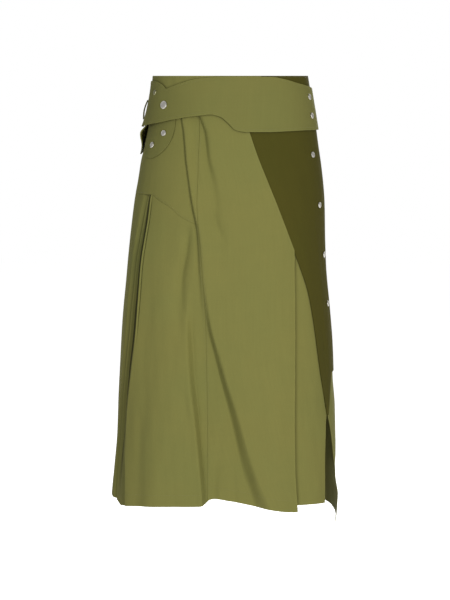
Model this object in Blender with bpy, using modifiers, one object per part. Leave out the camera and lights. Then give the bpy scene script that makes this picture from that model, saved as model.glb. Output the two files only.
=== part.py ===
"""Pleated midi skirt with a slanted wrap belt, a dark side-front panel and a snap placket.

The skirt is filled out as if worn, with nobody in it. The origin is the centre of the waist opening,
+Z is up and the front faces -Y. Tables are in millimetres and degrees:

    drop     how far below the waist edge
    bearing  angle round the body from the centre front, positive to the +X side
    level    how far a cloth's middle lies outside the body ring

Every cloth piece is a net of points between guide lines that run down the body, given its wall by a
Solidify modifier.
"""
import math
from collections import namedtuple

import bpy
import numpy as np
from mathutils import Vector

MM = 0.001
SEAM = 0.3                    # gap between neighbouring pieces
CENTRE_GAP = 0.65             # at the centre-front seam, where the folds bend the edges towards each other
WALL = 1.2                    # a single layer with its turned edges
BAND_WALL = 2.0               # waistband, two layers
BELT_WALL = 2.2               # belt, two layers and its stiffening
TAB_WALL = 1.2
LOOP_WALL = 1.4
LAYER_TIGHT = 1.6             # from layer to layer where a pleat is sewn down
LAYER_LOOSE = 2.6             # and where it hangs free
WAISTBAND_HEIGHT = 38.0
BELT_FLARE = 1.8              # how late the belt's stand-off grows from its upper to its lower edge

# ------------------------------------------------------------------ body ring
Section = namedtuple("Section", "drop half_width shift half_depth squareness")
SECTIONS = [
    Section(0, 136.5, 0.0, 98, 2.15),
    Section(42, 141.5, 2.0, 102, 2.20),
    Section(92, 147.5, 4.0, 108, 2.20),
    Section(122, 153.0, 2.5, 113, 2.25),
    Section(149, 158.5, 1.0, 118, 2.30),
    Section(177, 162.5, 0.5, 122, 2.30),
    Section(220, 168.0, -1.5, 127, 2.35),
    Section(291, 173.0, -5.0, 133, 2.40),
    Section(348, 177.0, -6.5, 137, 2.45),
    Section(405, 182.5, -6.5, 141, 2.50),
    Section(462, 187.0, -6.0, 145, 2.55),
    Section(519, 190.0, -6.5, 149, 2.60),
    Section(576, 192.5, -7.0, 152, 2.65),
    Section(633, 194.5, -7.5, 155, 2.70),
    Section(690, 197.5, -9.5, 158, 2.75),
    Section(750, 201.5, -11.0, 161, 2.80),
    Section(810, 204.0, -11.0, 163, 2.80),
]

# ------------------------------------------------------------------ seams and edges down the body
Mark = namedtuple("Mark", "drop bearing")
CENTRE_SEAM = [Mark(38, -33.5), Mark(73, -31.3), Mark(145, -27.0), Mark(214, -24.2), Mark(300, -19.0),
               Mark(404, -15.2), Mark(490, -13.9), Mark(560, -12.8), Mark(650, -11.8), Mark(755, -10.2)]
# The lines that the columns of points follow on each side of the centre seam, along the largest folds.
LEFT_WALL = [Mark(38, -47.5), Mark(73, -43.0), Mark(146, -34.6), Mark(184, -31.0), Mark(245, -25.6),
             Mark(290, -22.3), Mark(340, -21.5), Mark(400, -24.5), Mark(470, -24.0), Mark(537, -21.9),
             Mark(620, -18.1), Mark(681, -15.4), Mark(757, -13.0)]
RIGHT_WALL = [Mark(38, -28.5), Mark(70, -27.4), Mark(97, -23.4), Mark(145, -18.6), Mark(183, -14.2),
              Mark(250, -9.0), Mark(300, -6.5), Mark(370, -7.5), Mark(447, -6.5), Mark(490, -5.0),
              Mark(537, -1.1), Mark(580, 4.0), Mark(629, 8.7), Mark(681, 14.8), Mark(757, 26.5)]
PLEAT_ONE = [Mark(205, -59.5), Mark(259, -57.7), Mark(329, -57.9), Mark(433, -57.2), Mark(512, -58.4),
             Mark(592, -60.4), Mark(645, -60.5), Mark(696, -58.3), Mark(755, -56.4)]
PLEAT_TWO = [Mark(205, -61.9), Mark(246, -63.3), Mark(331, -65.8), Mark(436, -66.2), Mark(516, -67.9),
             Mark(596, -70.0), Mark(642, -70.5), Mark(703, -69.5), Mark(755, -68.0)]
DARK_EDGE = [Mark(38, 4.0), Mark(97, 15.1), Mark(175, 27.7), Mark(236, 37.3), Mark(302, 46.6),
             Mark(372, 54.7), Mark(416, 56.9), Mark(481, 58.4), Mark(540, 61.0), Mark(594, 64.0)]
PLEAT_RIGHT = [Mark(303, 47.0), Mark(388, 45.4), Mark(501, 42.7), Mark(654, 40.9), Mark(760, 41.6)]
SLIT_FRONT = [Mark(594, 64.0), Mark(610, 62.3), Mark(663, 60.7), Mark(706, 60.1), Mark(760, 59.0)]
PLACKET = [Mark(38, 80.0), Mark(130, 79.0), Mark(227, 77.5), Mark(314, 79.0), Mark(399, 78.5),
           Mark(464, 75.0), Mark(519, 71.5), Mark(560, 68.2), Mark(594, 65.4)]
SLIT_BACK = [Mark(505, 69.5), Mark(560, 66.8), Mark(594, 65.6), Mark(612, 67.4), Mark(640, 69.7),
             Mark(673, 73.5), Mark(705, 80.0), Mark(740, 86.0), Mark(775, 89.5), Mark(800, 92.0)]
SIDE_LEFT = -90.0             # side seam of waistband and yoke
SIDE_FLAT = -80.0             # the left side lies flat on the ring from here back
SIDE_TURN = 92.0              # just behind the right side
SIDE_RIGHT = 130.0            # seam between the side-back and back panels
BAND_JOINT = 30.0             # light and dark waistbands meet
PLEAT_DEPTH_TOP = 9.0         # degrees of cloth folded under a left pleat at the yoke seam
PLEAT_DEPTH_HEM = 13.0        # and at the hem

# ------------------------------------------------------------------ lines round the body
Round = namedtuple("Round", "bearing drop")
YOKE_LINE = [Round(-180, 225), Round(-120, 211), Round(-90, 208), Round(-69, 207), Round(-59.6, 207),
             Round(-52.3, 216), Round(-43.4, 228), Round(-35, 244), Round(-24, 256), Round(0, 262),
             Round(90, 262), Round(135, 248), Round(180, 225)]
HEM = [Round(-180, 752), Round(-115, 751), Round(-92, 742), Round(-75, 741), Round(-69, 744),
       Round(-66, 748), Round(-63, 752), Round(-59, 751), Round(-47, 748), Round(-31, 746), Round(-15, 745), Round(-11.5, 741), Round(-9, 735),
       Round(-6, 734), Round(4, 738), Round(10, 741), Round(23, 749), Round(37, 756), Round(42, 757),
       Round(90, 757), Round(140, 756), Round(180, 752)]
UNDERLAY_HEM = 746.0
SIDE_HEM = [Round(58, 801), Round(88, 801), Round(94, 797), Round(103, 784), Round(117, 770),
            Round(130, 761), Round(142, 756)]
DARK_SIDE_HEM = [Round(60, 514), Round(75, 521), Round(88, 522), Round(97, 507), Round(108, 470),
                 Round(120, 422), Round(130, 382)]
PLEAT_LINE = 303.0            # where the right pleat opens
POINT_LINE = 594.0            # where the dark panel ends in its point
ROWS = {"waist": 0, "yoke": 6, "pleat": 8, "point": 16, "hem": 21}

# ------------------------------------------------------------------ folds of the hanging cloth
# A fold crests at its bearing: `left` and `right` are its half-widths, `lean` pushes the crest
# sideways over the cloth beside it. A negative height is a trough.
Fold = namedtuple("Fold", "drop bearing left right height lean")
FOLDS = [
    # the long crease that starts sharp under the belt and widens towards the hem
    [Fold(38, -47.5, 5, 9, 0.0, 0), Fold(62, -44.5, 5, 9, 3.0, -0.5), Fold(90, -40.8, 5, 9, 5.0, -1.5),
     Fold(146, -33.8, 5, 9, 6.0, -1.5), Fold(184, -30.1, 5, 10, 6.0, -1.5),
     Fold(232, -24.7, 5, 12, 6.0, -1.5), Fold(275, -19.5, 6, 15, 6.0, -1.0),
     Fold(330, -16.6, 7, 20, 5.0, 0), Fold(400, -14.0, 8, 26, 3.0, 0), Fold(470, -8.0, 10, 30, 0, 0)],
    # soft trough to its right, from under the belt
    [Fold(38, -36.0, 12, 5, 0, 0), Fold(66, -33.0, 12, 5, -6.0, 0), Fold(97, -25.9, 11, 5, -6.5, 0),
     Fold(145, -20.0, 11, 5, -5.0, 0), Fold(183, -14.9, 12, 7, -4.0, 0),
     Fold(275, -8.0, 15, 11, -2.5, 0), Fold(345, -2.5, 15, 12, 0, 0)],
    # short trough left of the crease
    [Fold(245, -30.5, 8, 8, 0, 0), Fold(300, -29.7, 8, 9, -4, 0), Fold(348, -32.0, 10, 10, -5, 0),
     Fold(396, -32.9, 10, 13, -4, 0), Fold(455, -31.0, 10, 13, 0, 0)],
    # hidden side and back
    [Fold(210, -150, 18, 18, 0, 0), Fold(420, -147, 22, 26, -5, 0), Fold(760, -143, 30, 34, -12, 0)],
    [Fold(260, 168, 20, 20, 0, 0), Fold(460, 164, 24, 24, 4, 0), Fold(760, 160, 34, 30, 11, 0)],
    [Fold(240, 147, 14, 18, 0, 0), Fold(500, 144, 20, 22, -5, 0), Fold(760, 141, 24, 26, -10, 0)],
    [Fold(330, -98, 20, 22, 0, 0), Fold(760, -94, 30, 34, -6, 0)],
    # dent across the hanging corner beside the slit
    [Fold(652, 92, 40, 52, 0, 0), Fold(672, 92, 40, 52, -1, 0), Fold(688, 92, 40, 52, -5, 0),
     Fold(708, 92, 40, 52, -4.5, 0), Fold(745, 92, 40, 50, 1, 0), Fold(800, 94, 40, 50, 0, 0)],
]
# The wide shallow channel between two walls: each wall has its bearing and its width.
Channel = namedtuple("Channel", "drop left left_width right right_width depth")
CHANNEL = [
    Channel(350, -25.0, 14, -16.5, 8, 0), Channel(434, -25.0, 13, -12.3, 10, 5),
    Channel(490, -23.6, 11, -6.3, 15, 8), Channel(537, -21.9, 10, -1.1, 18, 10),
    Channel(580, -19.8, 9, 4.0, 20, 11), Channel(629, -17.7, 9, 8.7, 22, 12),
    Channel(681, -15.0, 8, 14.8, 22, 12), Channel(757, -11.6, 7, 26.5, 24, 12),
]
# How far the left pleats stand out below the yoke, and how much of that the cloth under the first does.
Depth = namedtuple("Depth", "drop level")
PLEAT_PROUD = [Depth(205, 0), Depth(260, 3.5), Depth(330, 7), Depth(480, 7), Depth(600, 5), Depth(755, 3)]
PROUD_START = -38.0           # bearing where the cloth begins to rise towards the pleats
PROUD_UNDER = 0.6

# ------------------------------------------------------------------ belt, tab and loop
Belt = namedtuple("Belt", "bearing top bottom level_top level_bottom")
BELT_FRONT = [
    Belt(-96, 14, 90, 3.2, 12.0), Belt(-84, 10, 89, 3.2, 13.5), Belt(-78, 9, 87, 3.2, 12.5),
    Belt(-66.7, 12, 83, 3.4, 11.0), Belt(-60.8, 18, 81, 3.0, 10.5), Belt(-58.5, 25, 80, 2.8, 10.2),
    Belt(-53, 17, 77, 4.4, 10.0), Belt(-43.3, 10, 73, 4.2, 9.6), Belt(-29.6, 4, 69, 3.2, 8.0),
    Belt(-20.2, 3, 67, 2.8, 6.0), Belt(-11.3, 2, 71, 2.6, 4.6), Belt(-4.7, 2, 81, 2.6, 4.0),
    Belt(2.7, 2, 94, 2.6, 3.6), Belt(10.8, 2, 97, 2.6, 3.2), Belt(30, 2, 97.5, 2.6, 3.0),
    Belt(39, 2, 97, 2.7, 3.0), Belt(50.4, 6, 96, 3.0, 3.3), Belt(64.7, 14, 95, 3.3, 3.6),
    Belt(74.9, 18, 95, 3.4, 3.8), Belt(84.5, 21, 95, 3.4, 3.6), Belt(104, 22, 95, 2.8, 3.2),
]
BELT_BACK = [
    Belt(-256, 22, 95, 2.8, 3.2), Belt(-220, 13, 98, 2.6, 3.2), Belt(-180, 10, 106, 2.6, 3.4),
    Belt(-150, 14, 114, 2.8, 5.0), Belt(-120, 26, 126, 3.0, 8.0), Belt(-106, 42, 135, 3.4, 8.5),
    Belt(-98, 62, 139, 3.8, 6.0), Belt(-90, 62, 136, 4.2, 3.4), Belt(-87, 62, 128, 4.2, 4.0),
]
# The back belt's end bulges out below the front belt.
Bulge = namedtuple("Bulge", "bearing width drop above below height")
BELT_BULGE = Bulge(-88, 10, 100, 10, 17, 9.6)
# Columns of points from each bearing to the next.
Stop = namedtuple("Stop", "bearing columns")
FRONT_STOPS = [Stop(-96, 4), Stop(-78, 2), Stop(-66.7, 1), Stop(-60.8, 1), Stop(-58.5, 1), Stop(-53, 2),
               Stop(-43.3, 3), Stop(-29.6, 2), Stop(-20.2, 2), Stop(-11.3, 2), Stop(-4.7, 2), Stop(2.7, 2),
               Stop(10.8, 3), Stop(30, 2), Stop(45, 2), Stop(60, 3), Stop(78, 2), Stop(90, 2),
               Stop(103.8, 0)]
BACK_STOPS = [Stop(-256, 6), Stop(-220, 6), Stop(-180, 6), Stop(-150, 5), Stop(-120, 3), Stop(-106, 2),
              Stop(-98, 3), Stop(-90, 2), Stop(-87, 0)]
TAB_TOP = 70.0
TAB_SEAT = 0.8                # clear of the yoke
TAB_EDGE = [Round(-86, 100), Round(-83, 120), Round(-77, 136), Round(-71, 142.5), Round(-66, 144),
            Round(-61, 140.5), Round(-56.5, 133), Round(-53, 122), Round(-51, 108), Round(-50.2, 92)]
LOOP_TOP = 43.0
LOOP_BOTTOM = 77.0
LOOP_BEARINGS = (-94.6, -91.4)
LOOP_BULGE = 3.0

Snap = namedtuple("Snap", "name bearing drop on diameter height")
SNAPS = [
    Snap("snap_belt_large", -59.5, 51, "belt", 14.3, 2.4),
    Snap("snap_belt_covered", -71.8, 29, "belt", 9.5, 1.6),
    Snap("snap_tab_upper", -58.9, 100, "tab", 10.4, 2.0),
    Snap("snap_tab_lower", -67.7, 121, "tab", 10.4, 2.0),
    Snap("snap_belt_side_upper", 73.5, 37, "belt", 10.4, 1.8),
    Snap("snap_belt_side_lower", 72.5, 70, "belt", 10.4, 1.8),
    Snap("snap_placket_1", 67.5, 138, "placket", 10.4, 2.0),
    Snap("snap_placket_2", 69.5, 226, "placket", 10.4, 2.0),
    Snap("snap_placket_3", 74.5, 314, "placket", 10.4, 2.0),
    Snap("snap_placket_4", 74.0, 400, "placket", 10.4, 2.0),
]
SNAP_SEAT = 0.55              # clear of the cloth it is set on
SNAP_SIDES = 14
# Half of the cap's profile, in shares of its radius and height.
CAP = [(0, 1), (0.55, 0.97), (0.86, 0.78), (1, 0.38), (0.97, 0), (0, 0)]

# ------------------------------------------------------------------ finish
LIGHT_OLIVE = (0.205, 0.200, 0.060)
DARK_OLIVE = (0.072, 0.064, 0.015)
STEEL = (0.55, 0.53, 0.48)


# ================================================================== curves
def curve(rows, column, key="drop"):
    """A smooth function through one column of a table, level beyond its ends."""
    xs = np.array([getattr(row, key) for row in rows], float)
    ys = np.array([getattr(row, column) for row in rows], float)
    steps = np.diff(ys) / np.diff(xs)
    slopes = np.zeros(len(xs))
    for i in range(1, len(xs) - 1):
        before, after = steps[i - 1], steps[i]
        if before * after > 0:
            slopes[i] = 2 * before * after / (before + after)
    slopes[0], slopes[-1] = steps[0], steps[-1]

    def value(x):
        x = np.clip(np.asarray(x, float), xs[0], xs[-1])
        i = np.clip(np.searchsorted(xs, x, side="right") - 1, 0, len(xs) - 2)
        span = xs[i + 1] - xs[i]
        t = (x - xs[i]) / span
        return (ys[i] * (1 + 2 * t) * (1 - t) ** 2 + slopes[i] * span * t * (1 - t) ** 2
                + ys[i + 1] * t * t * (3 - 2 * t) + slopes[i + 1] * span * t * t * (t - 1))
    return value


def constant(number):
    return lambda x: np.zeros_like(np.asarray(x, float)) + number


def ease(x):
    """0 below 0, 1 above 1, smooth between."""
    x = np.clip(x, 0, 1)
    return x * x * (3 - 2 * x)


half_width = curve(SECTIONS, "half_width")
shift = curve(SECTIONS, "shift")
half_depth = curve(SECTIONS, "half_depth")
squareness = curve(SECTIONS, "squareness")
yoke_line = curve(YOKE_LINE, "drop", "bearing")
hem_line = curve(HEM, "drop", "bearing")


# ================================================================== the body ring and its folds
def radius(bearing, drop):
    """Distance from the body's middle line to the ring, a rounded oval."""
    angle = np.radians(bearing)
    n = squareness(drop)
    across = np.abs(np.sin(angle) / half_width(drop)) ** n
    through = np.abs(np.cos(angle) / half_depth(drop)) ** n
    return (across + through) ** (-1 / n)


def ring(bearing, drop):
    """Point of the ring, its outward normal and its direction of growing bearing, in plan."""
    def at(degrees):
        angle = np.radians(degrees)
        reach = radius(degrees, drop)
        return np.stack([shift(drop) + reach * np.sin(angle), -reach * np.cos(angle)], -1)
    along = at(bearing + 0.1) - at(bearing - 0.1)
    along /= np.linalg.norm(along, axis=-1, keepdims=True)
    outward = np.stack([along[..., 1], -along[..., 0]], -1)
    return at(bearing), outward, along


def turn(bearing, other):
    """Signed difference of two bearings, the short way round."""
    return (bearing - other + 180) % 360 - 180


FOLD_CURVES = [{name: curve(rows, name) for name in Fold._fields[1:]} for rows in FOLDS]
CHANNEL_CURVES = {name: curve(CHANNEL, name) for name in Channel._fields[1:]}


def relief(bearing, drop):
    """How far the hanging cloth stands out and leans aside at a place, in mm."""
    out = np.zeros(np.broadcast(bearing, drop).shape)
    aside = np.zeros_like(out)
    per_degree = radius(bearing, drop) * math.pi / 180
    for rows, fold in zip(FOLDS, FOLD_CURVES):
        away = turn(bearing, fold["bearing"](drop)) * per_degree
        width = np.where(away < 0, fold["left"](drop), fold["right"](drop))
        inside = (drop >= rows[0].drop) & (drop <= rows[-1].drop + 60)
        shape = np.exp(-(away / width) ** 2) * inside
        out += fold["height"](drop) * shape
        aside += fold["lean"](drop) * shape
    channel = {name: value(drop) for name, value in CHANNEL_CURVES.items()}
    fall = ease(turn(bearing, channel["left"]) * per_degree / channel["left_width"] + 0.5)
    rise = ease(turn(bearing, channel["right"]) * per_degree / channel["right_width"] + 0.5)
    out -= channel["depth"] * fall * (1 - rise)
    return out, aside


def surface(bearing, drop, level, folded=True):
    """Point of a cloth's middle surface, in mm."""
    bearing, drop, level = np.broadcast_arrays(np.asarray(bearing, float), drop, level)
    plan, outward, along = ring(bearing, drop)
    if folded:
        out, aside = relief(bearing, drop)
        plan = plan + outward * (level + out)[..., None] + along * aside[..., None]
    else:
        plan = plan + outward * level[..., None]
    return np.concatenate([plan, -drop[..., None]], -1)


# ================================================================== nets of cloth
# `columns` spans lie between a guide and the next. `proud` is its share of the piece's lift.
Guide = namedtuple("Guide", "bearing level columns proud", defaults=(1.0,))


def beside(line, distance):
    """A line moved round the body by a distance in mm."""
    return lambda drop: line(drop) + np.degrees(distance / radius(line(drop), drop))


def between(first, second, share):
    return lambda drop: (1 - share) * first(drop) + share * second(drop)


def body_rows(first, last, hem=hem_line):
    """Drops of the body's rows `first` to `last`, spread evenly between its lines."""
    lines = [constant(WAISTBAND_HEIGHT), yoke_line, constant(PLEAT_LINE), constant(POINT_LINE), hem]
    at = list(ROWS.values())

    def place(row, bearing):
        row = first + row
        for k in range(len(lines) - 1):
            if row <= at[k + 1]:
                share = (row - at[k]) / (at[k + 1] - at[k])
                drop = (1 - share) * lines[k](bearing) + share * lines[k + 1](bearing)
                break
        if row == first and first < ROWS["hem"]:
            drop = drop + SEAM / 2
        if row == last and last < ROWS["hem"]:
            drop = drop - SEAM / 2
        return drop
    return place, last - first


def own_rows(top, bottom, count, power=1.0):
    """Rows of a piece with its own upper and lower edge."""
    def place(row, bearing):
        share = (row / count) ** power
        return (1 - share) * top(bearing) + share * bottom(bearing)
    return place, count


def cloth(name, guides, rows, wall, finish, lift=None, folded=True, skip=None):
    """A piece of cloth: its net of points between guide lines, then its wall."""
    place, count = rows
    columns = []
    for first, second in zip(guides, guides[1:]):
        for step in range(first.columns):
            columns.append((first, second, step / first.columns))
    columns.append((guides[-1], guides[-1], 0.0))
    points = np.zeros((count + 1, len(columns), 3))
    for i in range(count + 1):
        for j, (first, second, share) in enumerate(columns):
            bearing = float(first.bearing(300.0))
            for _ in range(6):
                drop = float(place(i, bearing))
                bearing = float((1 - share) * first.bearing(drop) + share * second.bearing(drop))
            level = (1 - share) * first.level(drop) + share * second.level(drop)
            if lift:
                proud = (1 - share) * first.proud + share * second.proud
                level = level + proud * lift(bearing, drop)
            points[i, j] = surface(bearing, drop, level, folded)
    width = len(columns)
    faces = []
    for i in range(count):
        for j in range(width - 1):
            if skip and skip(i, j):
                continue
            faces.append((i * width + j, (i + 1) * width + j, (i + 1) * width + j + 1, i * width + j + 1))
    used = sorted({corner for face in faces for corner in face})
    number = {old: new for new, old in enumerate(used)}
    flat = points.reshape(-1, 3) * MM
    mesh = bpy.data.meshes.new(name)
    mesh.from_pydata([flat[old].tolist() for old in used], [],
                     [[number[corner] for corner in face] for face in faces])
    mesh.validate()
    mesh.shade_smooth()
    piece = bpy.data.objects.new(name, mesh)
    solidify = piece.modifiers.new("wall", "SOLIDIFY")
    solidify.thickness = wall * MM
    solidify.offset = 0
    solidify.use_even_offset = True
    piece.data.materials.append(finish)
    return piece


# ================================================================== materials
def material(name, colour, roughness, metallic=0.0):
    made = bpy.data.materials.new(name)
    made.use_nodes = True
    shader = made.node_tree.nodes["Principled BSDF"]
    shader.inputs["Base Color"].default_value = (*colour, 1)
    shader.inputs["Roughness"].default_value = roughness
    shader.inputs["Metallic"].default_value = metallic
    made.diffuse_color = (*colour, 1)
    return made


# ================================================================== pieces
centre_seam = curve(CENTRE_SEAM, "bearing")
pleat_one = curve(PLEAT_ONE, "bearing")
pleat_two = curve(PLEAT_TWO, "bearing")
dark_edge = curve(DARK_EDGE, "bearing")
pleat_right = curve(PLEAT_RIGHT, "bearing")
slit_front = curve(SLIT_FRONT, "bearing")
placket = curve(PLACKET, "bearing")
slit_back = curve(SLIT_BACK, "bearing")


def layer(number):
    """Level of a layer under a left pleat: close at the yoke seam, looser below it."""
    def level(drop):
        loose = ease((drop - 205) / 90)
        return -number * (LAYER_TIGHT + (LAYER_LOOSE - LAYER_TIGHT) * loose)
    return level


def pleat_inner(drop):
    """Where the cloth under the left pleats turns back."""
    depth = PLEAT_DEPTH_TOP + (PLEAT_DEPTH_HEM - PLEAT_DEPTH_TOP) * ease((drop - 205) / 545)
    return pleat_one(drop) + depth


pleat_proud = curve(PLEAT_PROUD, "level")


def pleat_lift(bearing, drop):
    """How far the left pleats' cloth stands out, front and back alike."""
    front = np.where(bearing < SIDE_LEFT, 2 * SIDE_LEFT - bearing, bearing)
    rise = np.clip((PROUD_START - front) / (PROUD_START - pleat_one(drop)), 0, 1) ** 2
    fall = ease((front - SIDE_FLAT) / (pleat_two(drop) - SIDE_FLAT))
    return pleat_proud(drop) * rise * fall


def mirrored(line):
    """The same line on the back half of the left side."""
    return lambda drop: 2 * SIDE_LEFT - line(drop)


def fan(line, start):
    """A line that leaves the waistband at `start` and has joined `line` at the yoke seam."""
    return lambda drop: start + (line(drop) - start) * ease((drop - WAISTBAND_HEIGHT) / 160)


def beside_wall(end):
    """Guides from left of the long crease to the centre-front seam."""
    wall = curve(LEFT_WALL, "bearing")
    flat = constant(0)
    return [Guide(beside(wall, -10), flat, 1), Guide(beside(wall, -4), flat, 1), Guide(wall, flat, 1),
            Guide(between(wall, end, 0.3), flat, 1), Guide(between(wall, end, 0.6), flat, 1),
            Guide(end, flat, 0)]


def waistbands(light, dark):
    top, bottom = constant(0.0), constant(WAISTBAND_HEIGHT - SEAM / 2)
    spans = [("waistband_back", SIDE_RIGHT - 360, SIDE_LEFT, 26, light),
             ("waistband_front", SIDE_LEFT, BAND_JOINT, 22, light),
             ("waistband_side", BAND_JOINT, SIDE_RIGHT, 18, dark)]
    for name, first, last, columns, finish in spans:
        guides = [Guide(beside(constant(first), SEAM / 2), constant(0), columns),
                  Guide(beside(constant(last), -SEAM / 2), constant(0), 0)]
        yield cloth(name, guides, own_rows(top, bottom, 2), BAND_WALL, finish)


def yokes(light):
    rows = body_rows(ROWS["waist"], ROWS["yoke"])
    flat = constant(0)
    end = beside(centre_seam, -CENTRE_GAP / 2)
    edge, inner = fan(pleat_one, -66.0), fan(pleat_inner, -60.0)
    guides = [Guide(beside(constant(SIDE_LEFT), SEAM / 2), flat, 2), Guide(constant(SIDE_FLAT), flat, 3),
              Guide(edge, flat, 2), Guide(inner, flat, 2), *beside_wall(end)]
    yield cloth("yoke_left", guides, rows, WALL, light)
    guides = [Guide(beside(constant(-180), SEAM / 2), flat, 6), Guide(mirrored(inner), flat, 2),
              Guide(mirrored(edge), flat, 3), Guide(mirrored(constant(SIDE_FLAT)), flat, 2),
              Guide(beside(constant(SIDE_LEFT), -SEAM / 2), flat, 0)]
    yield cloth("yoke_back", guides, rows, WALL, light)


def left_pleats(light):
    """Front, side and back cloth below the yoke, folded into each other at the pleats."""
    rows = body_rows(ROWS["yoke"], ROWS["hem"])
    turned = between(pleat_one, pleat_inner, 0.5)
    fold = beside(centre_seam, -CENTRE_GAP / 2)
    flat = layer(0)
    guides = [Guide(beside(turned, SEAM / 2), layer(2), 1, PROUD_UNDER),
              Guide(pleat_inner, layer(2), 1, PROUD_UNDER),
              Guide(pleat_inner, layer(1), 2), Guide(pleat_one, layer(1), 1),
              Guide(pleat_one, flat, 2), Guide(pleat_inner, flat, 2), *beside_wall(fold)]
    yield cloth("panel_front_left", guides, rows, WALL, light, pleat_lift)

    front = [Guide(constant(SIDE_FLAT), flat, 1),
             *[Guide(line, layer(number), columns, PROUD_UNDER) for line, number, columns in [
                 (beside(pleat_two, -14), 1.4, 1), (beside(pleat_two, -3), 4, 1),
                 (pleat_two, 4, 1), (pleat_one, 4, 2), (pleat_inner, 4, 1), (pleat_inner, 3, 2),
                 (pleat_one, 3, 1), (pleat_two, 3, 1), (pleat_two, 2, 1), (pleat_one, 2, 1),
                 (beside(turned, -SEAM / 2), 2, 0)]]]
    back = []
    for k in range(len(front) - 1, -1, -1):
        columns = front[k - 1].columns if k else 2
        back.append(front[k]._replace(bearing=mirrored(front[k].bearing), columns=columns))
    middle = Guide(constant(SIDE_LEFT), flat, 2)
    yield cloth("panel_side_left", [*back, middle, *front], rows, WALL, light, pleat_lift)

    inner, edge = mirrored(pleat_inner), mirrored(pleat_one)
    guides = [Guide(beside(constant(-180), SEAM / 2), flat, 6), Guide(inner, flat, 2),
              Guide(edge, flat, 1), Guide(edge, layer(1), 2), Guide(inner, layer(1), 1),
              Guide(inner, layer(2), 1, PROUD_UNDER),
              Guide(beside(mirrored(turned), -SEAM / 2), layer(2), 0, PROUD_UNDER)]
    yield cloth("panel_back_left", guides, rows, WALL, light, pleat_lift)


# Levels round the right pleat and the dark panel, by drop.
dark_edge_level = curve([Depth(38, -1.6), Depth(303, -1.6), Depth(345, -0.8), Depth(390, 0),
                         Depth(600, 0)], "level")
turn_under_level = curve([Depth(303, -1.6), Depth(335, -1.7), Depth(400, -2.4), Depth(760, -2.4)],
                         "level")
underlay_level = curve([Depth(303, -3.4), Depth(335, -3.5), Depth(400, -4.8), Depth(760, -4.8)],
                       "level")
underlay_edge_level = curve([Depth(303, -3.4), Depth(345, -2.6), Depth(390, -1.8), Depth(575, -1.8),
                             Depth(600, -1.0), Depth(625, 0), Depth(760, 0)], "level")
swing_level = curve([Depth(480, -1.0), Depth(594, -0.6), Depth(640, 0.0), Depth(740, 0.5),
                     Depth(765, -1.0), Depth(801, -4.0)], "level")

# Distances round the body there, in mm, by drop.
Width = namedtuple("Width", "drop mm")
underlay_tuck = curve([Width(303, 3.0), Width(520, 3.0), Width(570, -SEAM), Width(760, -SEAM)], "mm")
dark_tuck = curve([Width(38, -3.0), Width(260, -3.0), Width(290, SEAM / 2), Width(600, SEAM / 2)], "mm")
turn_under_width = curve([Width(303, 5), Width(335, 9), Width(400, 20), Width(460, 28),
                          Width(760, 30)], "mm")
EDGE_TURN = 2.8               # degrees from the centre panel's sewn edge to the column before it
PLACKET_LAP = 1.0             # the dark panel's edge lies this far out, its underlap this far in
PLACKET_TURN = 11.0           # degrees of the dark panel that lie out at that level
DARK_TURN = 6.0               # degrees from the dark panel's tucked edge to its flat cloth
DARK_NARROWS = [Depth(38, 0.0), Depth(420, 0.0), Depth(540, 1.0)]
LAP = 6.0                     # height of the side panel's top under the dark side piece
LAP_DEPTH = 1.9               # and how far under it lies
LAP_EASE = (14.0, 50.0)       # where below the dark hem it starts to come out, and over what height
SLIT_TURN = 14.0              # least degrees from the slit to the side panel's flat cloth


def turned_under(drop):
    """Inner edge of the right pleat's turn-under."""
    return beside(pleat_right, -turn_under_width(drop))(drop)


def front_centre(light):
    """From the centre-front seam to the right pleat, with the pleat's turn-under."""
    flat = constant(0)
    start = beside(centre_seam, CENTRE_GAP / 2)
    wall = curve(RIGHT_WALL, "bearing")

    def edge(drop):
        return np.where(drop < PLEAT_LINE, dark_edge(drop), pleat_right(drop))

    def before_edge(drop):
        return np.where(drop < PLEAT_LINE, dark_edge(drop) - EDGE_TURN, turned_under(drop))
    guides = [Guide(start, flat, 1), Guide(between(start, wall, 0.5), flat, 1),
              Guide(beside(wall, -3), flat, 1), Guide(beside(wall, 7), flat, 6),
              Guide(before_edge, flat, 2), Guide(edge, flat, 1),
              Guide(pleat_right, turn_under_level, 3), Guide(turned_under, turn_under_level, 0)]
    turn_first = sum(guide.columns for guide in guides[:5])
    opening = ROWS["pleat"] + 1

    def above_opening(row, column):
        return column >= turn_first and row < opening
    return cloth("panel_front_centre", guides, body_rows(ROWS["waist"], ROWS["hem"]), WALL, light,
                 skip=above_opening)


def underlay(light):
    """The cloth that shows inside the right pleat, as far as the dark panel's edge and the slit."""
    def edge(drop):
        line = np.where(drop < POINT_LINE, dark_edge(drop), slit_front(drop))
        return line + np.degrees(underlay_tuck(drop) / radius(line, drop))
    guides = [Guide(turned_under, underlay_level, 3), Guide(pleat_right, underlay_level, 4),
              Guide(edge, underlay_edge_level, 0)]
    return cloth("pleat_underlay", guides, body_rows(ROWS["pleat"], ROWS["hem"], constant(UNDERLAY_HEM)),
                 WALL, light)


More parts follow.
